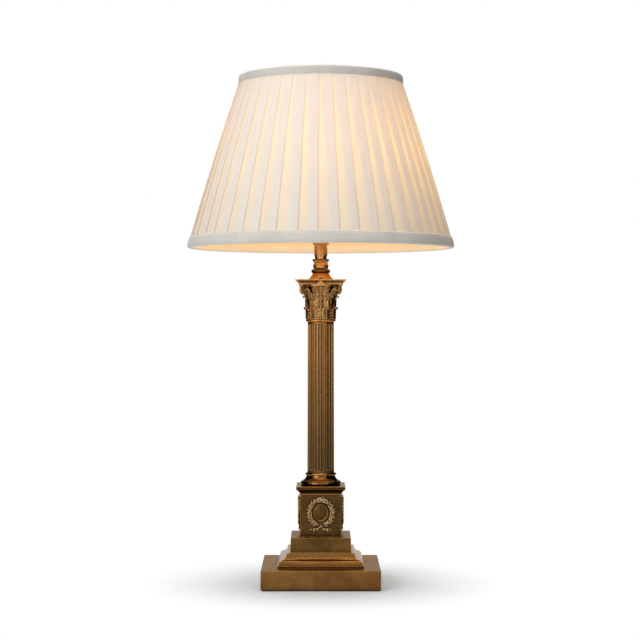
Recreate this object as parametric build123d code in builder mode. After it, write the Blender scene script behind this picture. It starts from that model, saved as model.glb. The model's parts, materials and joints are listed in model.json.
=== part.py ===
from build123d import *
import math
import os

# Column table lamp: a stepped square brass base, a fluted column with a leafed
# capital, a switched lampholder and a pleated fabric shade.  Millimetres, +Z up,
# -Y is the front; the origin is the middle of the underside.

os.makedirs("parts", exist_ok=True)

# ------------------------------------------------------------------ clearances
slip = 0.05  # between pieces that are stacked or sleeved and stay put
running = 0.3  # between pieces that move past each other
thread_gap = 0.05  # a threaded hole is modelled plain, this much over the thread

# ------------------------------------------------------------- square base, z up
felt_thickness = 1.2
felt_inset = 1.5
base_side = 135.0
base_top = 23.0
base_corner = 2.0
base_edge = 1.5
casting_wall = 5.0

plinth_lip_side = 97.7
plinth_lip = 2.8
plinth_roll_side = 96.4
plinth_waist_side = 90.0
plinth_cove_side = 78.4
plinth_fillet_side = 77.4
plinth_roll = 5.4
plinth_cove = 5.8
plinth_fillet = 2.0

block_side = 70.0
block_top_side = 68.5
block_height = 17.0

die_side = 47.6
die_height = 48.6
die_edge = 0.8

cap_height = 8.9
cap_side = 56.2
cap_fascia = 4.2
cap_nose = 1.0

# --------------------------------------------------------------- laurel wreath
wreath_relief = 2.5
wreath_half_width = 12.1
wreath_half_height = 13.6
wreath_rise = 26.2  # wreath centre above the die's foot
wreath_band = 3.0
disc_half_width = 7.2
disc_half_height = 7.8
disc_recess = 0.7
leaf_pairs = 7
laurel_length = 7.6
laurel_width = 3.9
laurel_splay = 26.0
wreath_seat = 0.6  # the mount's back plate

# ------------------------------------------------------------------- the column
torus_radius = 23.35
torus_height = 5.0
scotia_radius = 16.5
scotia_height = 5.6
upper_bead_radius = 17.85
upper_bead_height = 3.7
shaft_height = 174.2
shaft_foot_radius = 15.45
shaft_head_radius = 15.1
shaft_bore = 10.5
flute_count = 24
flute_radius = 1.45
flute_sink = 0.35  # flute axis outside the shaft's surface
flute_foot = 2.2
flute_head = 4.4
astragal_radius = 17.2
astragal_height = 2.7

# ---------------------------------------------------------------------- capital
capital_height = 46.0
bell_foot_radius = 15.2
bell_waist_radius = 15.7
bell_waist = 19.0
bell_lip_radius = 21.5
abacus_side = 58.2
abacus_under_side = 51.0
abacus_hollow = 5.6
abacus_horn = 1.4
abacus_fillet = 1.3
abacus_slope = 2.9
abacus_listel = 1.6
leaf_count = 8
leaf_rib = 0.5
leaf_root = 1.8  # how deep a leaf's back is let into the bell
lower_leaf_height = 11.2
lower_leaf_half = 5.9
upper_leaf_foot = 6.0
upper_leaf_height = 18.0
upper_leaf_half = 6.2
volute_radius = 5.1
volute_turns = 1.6
volute_step = 36.0  # degrees between the points of a scroll
volute_reach = 27.6  # volute eye from the column's axis, along the diagonal
volute_drop = 12.4  # volute eye below the abacus's top
volute_width = 4.6
volute_strand = 1.15
helix_radius = 2.4
helix_relief = 3.2  # a small scroll, out from where it is rooted
helix_eye_relief = 4.2
helix_plate = 1.4
helix_root = 4.6  # how far inside the bell's lip the small scrolls start
helix_rise = 0.8  # small scrolls above the level of the volutes' eyes
palmette_petals = 5
palmette_radius = 5.0
palmette_relief = 1.1  # beyond the hollow of the abacus
palmette_root = 2.5  # sunk into it

# -------------------------------------------------------- mouldings over capital
cone_height = 7.6
cone_foot_radius = 14.3
cone_head_radius = 9.25
ring_height = 4.4
ring_radius = 10.9
vase_height = 9.8
vase_belly_radius = 8.85
vase_neck_radius = 7.75
rim_height = 2.2
rim_radius = 9.85
neck_height = 19.0
neck_foot_radius = 6.75
neck_radius = 7.55
neck_lip_radius = 9.25
neck_lip = 1.8

# ------------------------------------------------ tie rod and what it clamps
rod_radius = 5.0
rod_bore = 3.5
rod_foot = 9.6
nut_flats = 14.0
nut_height = 5.0
spring_washer_height = 1.4
washer_radius = 14.0
washer_height = 1.5
tag_thickness = 0.8
tag_radius = 7.5
tag_tail = 8.0
weight_side = 106.0
weight_thickness = 8.0
weight_eye_radius = 19.0
weight_slot = 12.0
weight_screw_pitch = 76.0
screw_radius = 2.0
screw_head_radius = 3.8
screw_grip = 3.5
inlet_height = 8.9
bush_radius = 5.0
bush_bore = 3.6
bush_flange_radius = 6.4
bush_flange = 1.5
bush_tail = 1.6
centring_thickness = 3.0

# ------------------------------------------------------------------ lampholder
cup_height = 30.0
cup_radius = 20.6
cup_wall = 1.1
cup_boss_radius = 9.4
cup_boss_height = 8.0
cup_turn = 12.0  # height over which the cup widens
cup_overlap = 6.0
skirt_radius = 19.8
skirt_wall = 1.3
skirt_height = 34.0
shoulder_radius = 23.2
shoulder_rise = 8.0
shoulder_height = 2.0
switch_block_radius = 17.5
switch_block_height = 15.0
bar_radius = 2.5
bar_rise = 8.6  # bar axis above the switch block's foot
bar_travel = 6.0
button_radius = 4.2
button_length = 5.0
button_stand = 1.2  # between a pushed-in button and the cup
contact_block_height = 8.0
holder_shell_radius = 13.5
holder_shell_wall = 0.5
holder_shell_height = 21.0
sleeve_radius = 18.2
sleeve_wall = 3.4
tongue_width = 5.0
tongue_thickness = 0.5
tongue_length = 9.0
tongue_lift = 1.4
terminal_pitch = 18.0
terminal_radius = 2.6
terminal_height = 2.2

# ------------------------------------------------------------------------ bulb
bulb_length = 105.0
bulb_radius = 30.0
bulb_neck_radius = 13.3
bulb_glass = 0.7
bulb_neck = 7.0
bulb_blend = 38.0  # degrees below the equator where the neck's sweep begins
cap_radius = 13.1
cap_wall = 0.5
cap_foot = 3.6
cap_length = 22.4
cap_chamfer = 2.2
contact_radius = 4.6
contact_height = 1.2
stem_radius = 4.0
stem_height = 34.0
lead_spread = 8.0
lead_radius = 0.5
lead_height = 20.0

# ----------------------------------------------------------------------- shade
shade_foot = 386.6
shade_height = 200.0
cone_bottom_radius = 154.4
cone_top_radius = 91.8
shade_bow = 1.5
pleat_count = 43
first_fold = -91.2  # degrees; a fold stands just left of the front
pleat_depth = 0.012  # step at each fold, as a share of the radius
cover_cloth = 0.8
liner_gap = 0.2
liner_thickness = 0.8
binding_thickness = 0.7
bottom_binding_height = 13.4
binding_flare = 1.2  # how far the bottom band stands outside the folds
top_binding_height = 10.2
bottom_wire_radius = 1.7
top_wire_radius = 1.5
roll_radius = 3.16
arm_radius = 1.6
arm_count = 3
carrier_ring_radius = 25.6
carrier_ring_thickness = 2.0
clamp_ring_radius = 24.8
clamp_ring_height = 7.0
clamp_flange_radius = 25.4
clamp_flange = 1.6

# ---------------------------------------------------------- heights worked out
felt_top = felt_thickness
slab_height = base_top - felt_top
plinth_height = plinth_lip + plinth_roll + plinth_cove + plinth_fillet
plinth_top = base_top + plinth_height
block_top = plinth_top + block_height
die_top = block_top + die_height
cap_top = die_top + cap_height
column_base_height = torus_height + scotia_height + upper_bead_height
column_base_top = cap_top + column_base_height
shaft_top = column_base_top + shaft_height
astragal_top = shaft_top + astragal_height
capital_top = astragal_top + capital_height
cone_top = capital_top + cone_height
ring_top = cone_top + ring_height
vase_top = ring_top + vase_height
rim_top = vase_top + rim_height
neck_top = rim_top + neck_height
cup_top = neck_top + cup_height
skirt_foot = cup_top - cup_overlap
skirt_top = skirt_foot + skirt_height
shoulder_top = skirt_foot + shoulder_rise + shoulder_height
switch_block_foot = neck_top + cup_boss_height + slip
switch_block_top = switch_block_foot + switch_block_height
bar_height = switch_block_foot + bar_rise
contact_top = switch_block_top + contact_block_height
bulb_foot = contact_top + tongue_lift + tongue_thickness + slip
bulb_top = bulb_foot + bulb_length
rod_hole = rod_radius + running
rod_top = neck_top + cup_boss_height


def save(piece, name):
    """Label a finished piece and write its STEP file."""
    piece.part.label = name
    export_step(piece.part, f"parts/{name}.step")


def roll_points(edge, foot, top, flats=6):
    """Points of a half-round moulding that stands out from the radius edge."""
    half = (top - foot) / 2
    points = []
    for flat in range(flats + 1):
        angle = math.pi * flat / flats
        points.append((edge + half * math.sin(angle), foot + half * (1 - math.cos(angle))))
    return points


def ribbon(points, width):
    """Outline of a flat ribbon of that width along a line of points."""
    left = []
    right = []
    last = len(points) - 1
    for index, point in enumerate(points):
        before = Vector(*points[max(index - 1, 0)])
        after = Vector(*points[min(index + 1, last)])
        along = (after - before).normalized()
        side = Vector(-along.Y, along.X) * (width / 2)
        left.append(Vector(*point) + side)
        right.append(Vector(*point) - side)
    return left + right[::-1]


def hex_radius(flats):
    """Corner radius of a hexagon from its width across flats."""
    return flats / math.sqrt(3)


# ================================================================ square base

with BuildPart() as felt_pad:
    with BuildSketch(Plane.XY):
        felt_side = base_side - 2 * felt_inset
        RectangleRounded(felt_side, felt_side, base_corner)
    extrude(amount=felt_thickness)
save(felt_pad, "felt_pad")

# The bottom step is an open-bottomed casting; a bush for the flex sits in its
# back wall.
slab_cavity = base_side - 2 * casting_wall
with BuildPart() as base_slab:
    with BuildSketch(Plane.XY.offset(felt_top)):
        RectangleRounded(base_side, base_side, base_corner)
    extrude(amount=slab_height)
    fillet(base_slab.faces().sort_by(Axis.Z)[-1].edges(), base_edge)
    with BuildSketch(Plane.XY.offset(felt_top)):
        Rectangle(slab_cavity, slab_cavity)
    extrude(amount=slab_height - casting_wall, mode=Mode.SUBTRACT)
    with Locations((0, 0, base_top)):
        Hole(rod_hole)
    with BuildSketch(Plane.XZ.offset(-base_side / 2)):
        with Locations((0, inlet_height)):
            Circle(bush_radius + slip)
    extrude(amount=casting_wall + 1, mode=Mode.SUBTRACT)
    with BuildSketch(Plane.XY.offset(base_top - casting_wall)):
        with Locations((-weight_screw_pitch / 2, 0), (weight_screw_pitch / 2, 0)):
            Circle(screw_radius + thread_gap)
    extrude(amount=screw_grip + 0.4, mode=Mode.SUBTRACT)
save(base_slab, "base_slab")

# The flex bush: a plain barrel through the wall, flanged outside, with a lip inside.
with BuildPart() as inlet_bush:
    with BuildSketch(Plane.XZ.offset(-base_side / 2 - bush_flange)):
        with Locations((0, inlet_height)):
            Circle(bush_flange_radius)
    extrude(amount=bush_flange - slip)
    chamfer(inlet_bush.faces().sort_by(Axis.Y)[-1].edges(), 0.5)
    with BuildSketch(Plane.XZ.offset(-base_side / 2 - slip)):
        with Locations((0, inlet_height)):
            Circle(bush_radius)
    extrude(amount=casting_wall + bush_tail)
    with BuildSketch(Plane.XZ.offset(-base_side / 2 - bush_flange)):
        with Locations((0, inlet_height)):
            Circle(bush_bore)
    extrude(amount=bush_flange + casting_wall + bush_tail + 1, mode=Mode.SUBTRACT)
save(inlet_bush, "inlet_bush")

# Steel weight under the slab's roof, slotted so that the flex can reach the rod.
weight_top = base_top - casting_wall - slip
with BuildPart() as base_weight:
    with BuildSketch(Plane.XY.offset(weight_top - weight_thickness)):
        Rectangle(weight_side, weight_side)
        Circle(weight_eye_radius, mode=Mode.SUBTRACT)
        with Locations((0, weight_side / 4)):
            Rectangle(weight_slot, weight_side / 2, mode=Mode.SUBTRACT)
    extrude(amount=weight_thickness)
    with BuildSketch(Plane.XY.offset(weight_top - weight_thickness)):
        with Locations((-weight_screw_pitch / 2, 0), (weight_screw_pitch / 2, 0)):
            Circle(screw_radius + running)
    extrude(amount=weight_thickness, mode=Mode.SUBTRACT)
save(base_weight, "base_weight")

with BuildPart() as weight_screws:
    with BuildSketch(Plane.XY.offset(weight_top - weight_thickness - slip)):
        with Locations((-weight_screw_pitch / 2, 0), (weight_screw_pitch / 2, 0)):
            Circle(screw_radius)
    extrude(amount=weight_thickness + screw_grip)
    with BuildSketch(Plane.XY.offset(weight_top - weight_thickness - slip)):
        with Locations((-weight_screw_pitch / 2, 0), (weight_screw_pitch / 2, 0)):
            Circle(screw_head_radius)
    extrude(amount=-screw_radius)
save(weight_screws, "weight_screws")

# Second step: a moulding with a lip, a convex roll, a cove and a fillet.  The same
# outline is drawn across X and across Y, and the solid is what both share, so the
# corners are mitred.
with BuildPart() as ogee_plinth:
    for side in (Plane.XZ, Plane.YZ):
        with BuildSketch(side):
            with BuildLine():
                lip = plinth_lip_side / 2
                roll = plinth_roll_side / 2
                waist = plinth_waist_side / 2
                cove = plinth_cove_side / 2
                neck = plinth_fillet_side / 2
                lip_z = base_top + plinth_lip
                roll_z = lip_z + plinth_roll
                cove_z = roll_z + plinth_cove
                Polyline((0, base_top), (lip, base_top), (lip, lip_z), (roll, lip_z))
                RadiusArc((roll, lip_z), (waist, roll_z), -plinth_roll)
                RadiusArc((waist, roll_z), (cove, cove_z), plinth_cove + 1.4)
                Polyline(
                    (cove, cove_z), (neck, cove_z), (neck, plinth_top), (0, plinth_top)
                )
                Line((0, plinth_top), (0, base_top))
            make_face()
            mirror(about=Plane.YZ)
        cut = Mode.ADD if side == Plane.XZ else Mode.INTERSECT
        extrude(amount=plinth_lip_side, both=True, mode=cut)
    with BuildSketch(Plane.XY.offset(base_top)):
        hollow = plinth_fillet_side - 2 * casting_wall
        Rectangle(hollow, hollow)
    extrude(amount=plinth_height - casting_wall, mode=Mode.SUBTRACT)
    with Locations((0, 0, plinth_top)):
        Hole(rod_hole)
save(ogee_plinth, "ogee_plinth")

with BuildPart() as upper_block:
    with BuildSketch(Plane.XY.offset(plinth_top)):
        Rectangle(block_side, block_side)
    with BuildSketch(Plane.XY.offset(block_top)):
        Rectangle(block_top_side, block_top_side)
    loft()
    fillet(upper_block.faces().sort_by(Axis.Z)[-1].edges(), 0.6)
    with BuildSketch(Plane.XY.offset(plinth_top)):
        hollow = block_top_side - 2 * casting_wall
        Rectangle(hollow, hollow)
    extrude(amount=block_height - casting_wall, mode=Mode.SUBTRACT)
    with Locations((0, 0, block_top)):
        Hole(rod_hole)
save(upper_block, "upper_block")

wreath_centre = block_top + wreath_rise
with BuildPart() as wreath_die:
    with BuildSketch(Plane.XY.offset(block_top)):
        Rectangle(die_side, die_side)
    extrude(amount=die_height)
    fillet(wreath_die.edges().filter_by(Axis.Z), die_edge)
    with BuildSketch(Plane.XY.offset(block_top)):
        hollow = die_side - 2 * casting_wall
        Rectangle(hollow, hollow)
    extrude(amount=die_height - casting_wall, mode=Mode.SUBTRACT)
    with Locations((0, 0, die_top)):
        Hole(rod_hole)
    for side in (Plane.XZ, Plane.YZ):
        for face in (-1, 1):
            with BuildSketch(side.offset(face * die_side / 2)):
                with Locations((0, wreath_centre)):
                    Ellipse(disc_half_width, disc_half_height)
            extrude(amount=-face * disc_recess, mode=Mode.SUBTRACT)
save(wreath_die, "wreath_die")


# ---------------------------------------------------------------- wreath mounts
# A laurel leaf is a kite that rises to a peak near its foot.
with BuildPart() as laurel_leaf:
    with BuildSketch() as kite:
        Polygon(
            (0, 0),
            (laurel_length * 0.42, -laurel_width / 2),
            (laurel_length, 0),
            (laurel_length * 0.42, laurel_width / 2),
            align=None,
        )
    peak = Vertex(laurel_length * 0.42, 0, wreath_relief - 0.6)
    loft([kite.sketch.face(), peak], ruled=True)

# One wreath, drawn flat: two branches of leaves that climb from the crossed stems
# at the bottom and meet at the top.
with BuildPart() as wreath:
    with BuildSketch():
        Ellipse(wreath_half_width + wreath_band / 2, wreath_half_height + wreath_band / 2)
        Ellipse(
            wreath_half_width - wreath_band / 2,
            wreath_half_height - wreath_band / 2,
            mode=Mode.SUBTRACT,
        )
    extrude(amount=wreath_seat)
    for branch in (-1, 1):
        for pair in range(leaf_pairs):
            climb = math.radians(-80 + 138 * pair / (leaf_pairs - 1))
            x = branch * wreath_half_width * math.cos(climb)
            y = wreath_half_height * math.sin(climb)
            along_x = -branch * wreath_half_width * math.sin(climb)
            along_y = wreath_half_height * math.cos(climb) + wreath_half_height * 0.45
            heading = math.degrees(math.atan2(along_y, along_x))
            for splay, lift in ((-laurel_splay, 0), (laurel_splay * 0.4, 0.5)):
                with Locations(Location((x, y, lift), (0, 0, heading + splay))):
                    add(laurel_leaf.part)
        for droop in (-22, -48):
            foot = (branch * 3.4, -wreath_half_height - 0.6, 0.1)
            heading = droop if branch > 0 else 180 - droop
            with Locations(Location(foot, (0, 0, heading))):
                add(laurel_leaf.part)

with BuildPart() as wreath_mounts:
    for quarter in range(4):
        outward = Vector(0, -1, 0).rotate(Axis.Z, 90 * quarter)
        sideways = Vector(1, 0, 0).rotate(Axis.Z, 90 * quarter)
        foot = outward * (die_side / 2) + Vector(0, 0, wreath_centre)
        with Locations(Plane(origin=foot, x_dir=sideways, z_dir=outward)):
            add(wreath.part)
save(wreath_mounts, "wreath_mounts")

with BuildPart() as pedestal_cap:
    for side in (Plane.XZ, Plane.YZ):
        with BuildSketch(side):
            with BuildLine():
                foot = die_side / 2
                nose = cap_side / 2
                nose_z = cap_top - cap_fascia
                Line((0, die_top), (foot, die_top))
                RadiusArc((foot, die_top), (nose - cap_nose, nose_z), 7)
                RadiusArc(
                    (nose - cap_nose, nose_z), (nose, nose_z + cap_nose), -cap_nose
                )
                Line((nose, nose_z + cap_nose), (nose, cap_top - cap_nose / 2))
                Line((nose, cap_top - cap_nose / 2), (nose - cap_nose / 2, cap_top))
                Polyline((nose - cap_nose / 2, cap_top), (0, cap_top), (0, die_top))
            make_face()
            mirror(about=Plane.YZ)
        cut = Mode.ADD if side == Plane.XZ else Mode.INTERSECT
        extrude(amount=cap_side, both=True, mode=cut)
    with Locations((0, 0, cap_top)):
        Hole(rod_hole)
save(pedestal_cap, "pedestal_cap")

# ================================================================== the column

# Round foot: a large torus, a scotia with a small ring in it, and an upper bead.
with BuildPart() as column_base:
    with BuildSketch(Plane.XZ):
        with BuildLine():
            torus_top = cap_top + torus_height
            scotia_top = torus_top + scotia_height
            torus = roll_points(torus_radius - torus_height / 2, cap_top, torus_top, 8)
            bead = roll_points(
                upper_bead_radius - upper_bead_height / 2, scotia_top, column_base_top
            )
            fillet_edge = (torus_radius - torus_height * 0.6, torus_top + 0.7)
            Polyline((rod_hole, cap_top), *torus, fillet_edge)
            RadiusArc(fillet_edge, (scotia_radius, scotia_top), 6.2)
            Polyline(
                (scotia_radius, scotia_top),
                *bead,
                (rod_hole, column_base_top),
                (rod_hole, cap_top),
            )
        make_face()
    revolve(axis=Axis.Z)
save(column_base, "column_base")

# A flute is a round-ended groove; its cutter leans with the shaft's taper.
lean = math.degrees(math.atan((shaft_foot_radius - shaft_head_radius) / shaft_height))
flute_length = shaft_height - flute_foot - flute_head
flute_end = flute_radius * 0.9
with BuildPart() as flute_cutter:
    for height, radius in (
        (0, flute_radius * 0.35),
        (flute_end, flute_radius),
        (flute_length - flute_end, flute_radius),
        (flute_length, flute_radius * 0.35),
    ):
        with BuildSketch(Plane.XY.offset(height)):
            RegularPolygon(radius, 8)
    loft(ruled=True)

with BuildPart() as fluted_shaft:
    with Locations((0, 0, column_base_top)):
        Cone(
            shaft_foot_radius,
            shaft_head_radius,
            shaft_height,
            align=(Align.CENTER, Align.CENTER, Align.MIN),
        )
    for flute in range(flute_count):
        turn = Location((0, 0, 0), (0, 0, 360 * (flute + 0.5) / flute_count))
        stand = Location(
            (shaft_foot_radius + flute_sink, 0, column_base_top + flute_foot),
            (0, -lean, 0),
        )
        with Locations(turn * stand):
            add(flute_cutter.part, mode=Mode.SUBTRACT)
    with Locations((0, 0, shaft_top)):
        Hole(shaft_bore)
save(fluted_shaft, "fluted_shaft")

with BuildPart() as centring_rings:
    ring_seats = (column_base_top + slip, shaft_top - centring_thickness - slip)
    for foot in ring_seats:
        with BuildSketch(Plane.XY.offset(foot)):
            Circle(shaft_bore - slip)
            Circle(rod_hole, mode=Mode.SUBTRACT)
        extrude(amount=centring_thickness)
save(centring_rings, "centring_rings")

with BuildPart() as astragal_ring:
    with BuildSketch(Plane.XZ):
        with BuildLine():
            roll = roll_points(
                astragal_radius - astragal_height / 2, shaft_top, astragal_top
            )
            Polyline((rod_hole, shaft_top), *roll, (rod_hole, astragal_top), close=True)
        make_face()
    revolve(axis=Axis.Z)
save(astragal_ring, "astragal_ring")

# ===================================================================== capital

# A leaf is lofted through stations up its spine, which hugs the bell and curls
# over at the tip: how far out from the bell, the share of the leaf's height, the
# spine's lean in degrees, the share of its half width, and its thickness.  The
# widths swing out to a lobe and in to a notch twice.
leaf_stations = (
    (0.7, 0.00, 0, 0.66, 0.9),
    (0.8, 0.28, 3, 0.97, 0.9),
    (0.9, 0.42, 4, 0.76, 0.9),
    (1.1, 0.66, 9, 1.00, 0.85),
    (1.7, 0.86, 28, 0.68, 0.6),
    (2.6, 0.97, 72, 0.52, 0.45),
    (3.2, 0.95, 122, 0.36, 0.4),
    (3.4, 0.86, 168, 0.16, 0.3),
)


def bell_radius(z):
    """Radius of the bell below its flare."""
    share = (z - astragal_top) / bell_waist
    return bell_foot_radius + (bell_waist_radius - bell_foot_radius) * share


def leaf_section(foot, height, half, station):
    """Plane and outline of a leaf at a station: a ridge, and edges that hug the bell."""
    out, share, lean, width, thickness = station
    z = foot + height * share
    reach = bell_radius(z) + out
    angle = math.radians(lean)
    along = (math.sin(angle), 0, math.cos(angle))
    side = half * width
    wrap = side**2 / (2 * reach)
    root = leaf_root if lean < 20 else thickness
    outline = (
        (-side, wrap),
        (-side / 2, wrap / 4 - thickness),
        (0, -thickness - leaf_rib * width),
        (side / 2, wrap / 4 - thickness),
        (side, wrap),
        (0, root),
    )
    return Plane(origin=(reach, 0, z), x_dir=(0, 1, 0), z_dir=along), outline


lower_foot = astragal_top
with BuildPart() as lower_leaf:
    for station in leaf_stations:
        plane, outline = leaf_section(
            lower_foot, lower_leaf_height, lower_leaf_half, station
        )
        with BuildSketch(plane):
            Polygon(*outline, align=None)
    loft(ruled=True)

upper_foot = astragal_top + upper_leaf_foot
with BuildPart() as upper_leaf:
    for station in leaf_stations:
        plane, outline = leaf_section(
            upper_foot, upper_leaf_height, upper_leaf_half, station
        )
        with BuildSketch(plane):
            Polygon(*outline, align=None)
    loft(ruled=True)

# A corner volute, drawn in the upright plane through the diagonal: a stalk that
# leaves the bell and winds in round its eye.
eye_z = capital_top - volute_drop
volute_line = volute_radius - volute_strand / 2
volute_points = [
    (bell_waist_radius + 0.8, eye_z - 13.0),
    (bell_waist_radius + 2.1, eye_z - 7.4),
    (bell_waist_radius + 4.1, eye_z - 2.0),
    (bell_waist_radius + 6.7, eye_z + 2.0),
    (bell_waist_radius + 9.3, eye_z + 3.7),
]
volute_count = round(volute_turns * 360 / volute_step)
for point in range(volute_count + 1):
    angle = math.radians(90 - volute_step * point)
    radius = volute_line * (1 - 0.62 * point / volute_count)
    volute_points.append(
        (volute_reach + radius * math.cos(angle), eye_z + radius * math.sin(angle))
    )
with BuildPart() as volute:
    with BuildSketch(Plane.XZ):
        Polygon(*ribbon(volute_points, volute_strand), align=None)
    extrude(amount=volute_width / 2, both=True)
    with BuildSketch(Plane.XZ):
        with Locations((volute_reach, eye_z)):
            RegularPolygon(volute_line, 12)
    extrude(amount=volute_width / 2 - 0.8, both=True)

# A small scroll beside the middle of each face, and the palmette over it.
with BuildPart() as helix_pair:
    face_reach = bell_lip_radius - helix_root
    for side in (-1, 1):
        with BuildSketch(Plane.YZ.offset(face_reach)):
            with Locations((side * (helix_radius + 0.2), eye_z + helix_rise)):
                RegularPolygon(helix_radius, 10)
        extrude(amount=helix_relief)
        with BuildSketch(Plane.YZ.offset(face_reach)):
            with Locations((side * (helix_radius + 0.2), eye_z + helix_rise)):
                RegularPolygon(helix_radius * 0.5, 8)
        extrude(amount=helix_eye_relief)
    with BuildSketch(Plane.YZ.offset(face_reach)):
        Polygon(
            (-helix_radius * 0.9, eye_z + 0.6),
            (helix_radius * 0.9, eye_z + 0.6),
            (helix_radius * 1.5, eye_z - 5.4),
            (0, eye_z - 7.2),
            (-helix_radius * 1.5, eye_z - 5.4),
            align=None,
        )
    extrude(amount=helix_plate)

abacus_foot = capital_top - abacus_fillet - abacus_slope - abacus_listel
with BuildPart() as palmette:
    middle = abacus_side / 2 - abacus_hollow
    with BuildSketch(Plane.YZ.offset(middle - palmette_root)):
        for petal in range(palmette_petals):
            splay = -66 + 132 * petal / (palmette_petals - 1)
            length = palmette_radius * (1 - 0.22 * abs(splay) / 66)
            root = Location((0, abacus_foot - 0.6), -splay)
            with Locations(root):
                Polygon(
                    (-0.5, -0.6),
                    (-1.3, length * 0.6),
                    (-0.6, length),
                    (0.6, length),
                    (1.3, length * 0.6),
                    (0.5, -0.6),
                    align=None,
                )
    extrude(amount=palmette_root + palmette_relief)


def hollow_sided_square(side, horn):
    """The abacus in plan: a square with hollowed sides and narrow cut corners."""
    corner = side / 2
    hollow = abacus_hollow * side / abacus_side
    for quarter in range(4):
        turn = 90 * quarter
        start = Vector(-corner + horn, -corner).rotate(Axis.Z, turn)
        middle = Vector(0, -corner + hollow).rotate(Axis.Z, turn)
        end = Vector(corner - horn, -corner).rotate(Axis.Z, turn)
        following = Vector(corner, -corner + horn).rotate(Axis.Z, turn)
        ThreePointArc(start, middle, end)
        Line(end, following)


with BuildPart() as capital:
    with BuildSketch(Plane.XZ):
        with BuildLine():
            waist_z = astragal_top + bell_waist
            Polyline(
                (rod_hole, astragal_top),
                (bell_foot_radius, astragal_top),
                (bell_waist_radius, waist_z),
            )
            RadiusArc(
                (bell_waist_radius, waist_z),
                (bell_lip_radius, abacus_foot - 1.2),
                34,
            )
            Polyline(
                (bell_lip_radius, abacus_foot - 1.2),
                (bell_lip_radius, abacus_foot),
                (rod_hole, abacus_foot),
                (rod_hole, astragal_top),
            )
        make_face()
    revolve(axis=Axis.Z)
    for turn in range(leaf_count):
        with Locations(Location((0, 0, 0), (0, 0, 360 * (turn + 0.5) / leaf_count))):
            add(lower_leaf.part)
        with Locations(Location((0, 0, 0), (0, 0, 360 * turn / leaf_count))):
            add(upper_leaf.part)
    with PolarLocations(0, 4, start_angle=45):
        add(volute.part)
    with PolarLocations(0, 4):
        add(helix_pair.part)
    listel_top = abacus_foot + abacus_listel
    slope_top = listel_top + abacus_slope
    with BuildSketch(Plane.XY.offset(abacus_foot)):
        with BuildLine():
            hollow_sided_square(abacus_under_side, abacus_horn)
        make_face()
    extrude(amount=abacus_listel)
    with BuildSketch(Plane.XY.offset(listel_top)):
        with BuildLine():
            hollow_sided_square(abacus_under_side, abacus_horn)
        make_face()
    with BuildSketch(Plane.XY.offset(slope_top)):
        with BuildLine():
            hollow_sided_square(abacus_side, abacus_horn)
        make_face()
    loft(ruled=True)
    with BuildSketch(Plane.XY.offset(slope_top)):
        with BuildLine():
            hollow_sided_square(abacus_side, abacus_horn)
        make_face()
    extrude(amount=abacus_fillet)
    with PolarLocations(0, 4):
        add(palmette.part)
    with Locations((0, 0, capital_top)):
        Hole(rod_hole)
save(capital, "capital")

# ==================================================== mouldings over the capital

with BuildPart() as cone_cover:
    with BuildSketch(Plane.XZ):
        with BuildLine():
            Polyline(
                (rod_hole, capital_top),
                (cone_foot_radius, capital_top),
                (cone_foot_radius, capital_top + 0.8),
            )
            RadiusArc(
                (cone_foot_radius, capital_top + 0.8), (cone_head_radius, cone_top), 16
            )
            Polyline(
                (cone_head_radius, cone_top), (rod_hole, cone_top), (rod_hole, capital_top)
            )
        make_face()
    revolve(axis=Axis.Z)
save(cone_cover, "cone_cover")

# The locknut under the ring clamps everything below it on the rod.
with BuildPart() as top_locknut:
    with BuildSketch(Plane.XY.offset(cone_top)):
        RegularPolygon(hex_radius(nut_flats), 6)
        Circle(rod_radius + thread_gap, mode=Mode.SUBTRACT)
    extrude(amount=ring_height - slip)
save(top_locknut, "top_locknut")

with BuildPart() as bead_ring:
    with BuildSketch(Plane.XZ):
        with BuildLine():
            inner = hex_radius(nut_flats) + running
            half = ring_height / 2
            Line((inner, cone_top), (ring_radius - half * 0.6, cone_top))
            ThreePointArc(
                (ring_radius - half * 0.6, cone_top),
                (ring_radius, cone_top + half),
                (ring_radius - half * 0.6, ring_top),
            )
            Polyline(
                (ring_radius - half * 0.6, ring_top), (inner, ring_top), (inner, cone_top)
            )
        make_face()
    revolve(axis=Axis.Z)
save(bead_ring, "bead_ring")

with BuildPart() as vase_collar:
    with BuildSketch(Plane.XZ):
        with BuildLine():
            belly_z = ring_top + vase_height * 0.35
            waist_z = ring_top + vase_height * 0.8
            Line((rod_hole, ring_top), (vase_neck_radius, ring_top))
            ThreePointArc(
                (vase_neck_radius, ring_top),
                (vase_belly_radius, belly_z),
                (vase_neck_radius, waist_z),
            )
            RadiusArc((vase_neck_radius, waist_z), (rim_radius - 0.8, vase_top), -3)
            Polyline((rim_radius - 0.8, vase_top), (rod_hole, vase_top), (rod_hole, ring_top))
        make_face()
    revolve(axis=Axis.Z)
save(vase_collar, "vase_collar")

with BuildPart() as rim_washer:
    with BuildSketch(Plane.XZ):
        Polygon(
            (rod_hole, vase_top),
            (rim_radius - 0.5, vase_top),
            (rim_radius, vase_top + rim_height * 0.45),
            (rim_radius - 0.3, rim_top - 0.4),
            (neck_foot_radius + 0.5, rim_top),
            (rod_hole, rim_top),
            align=None,
        )
    revolve(axis=Axis.Z)
save(rim_washer, "rim_washer")

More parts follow.
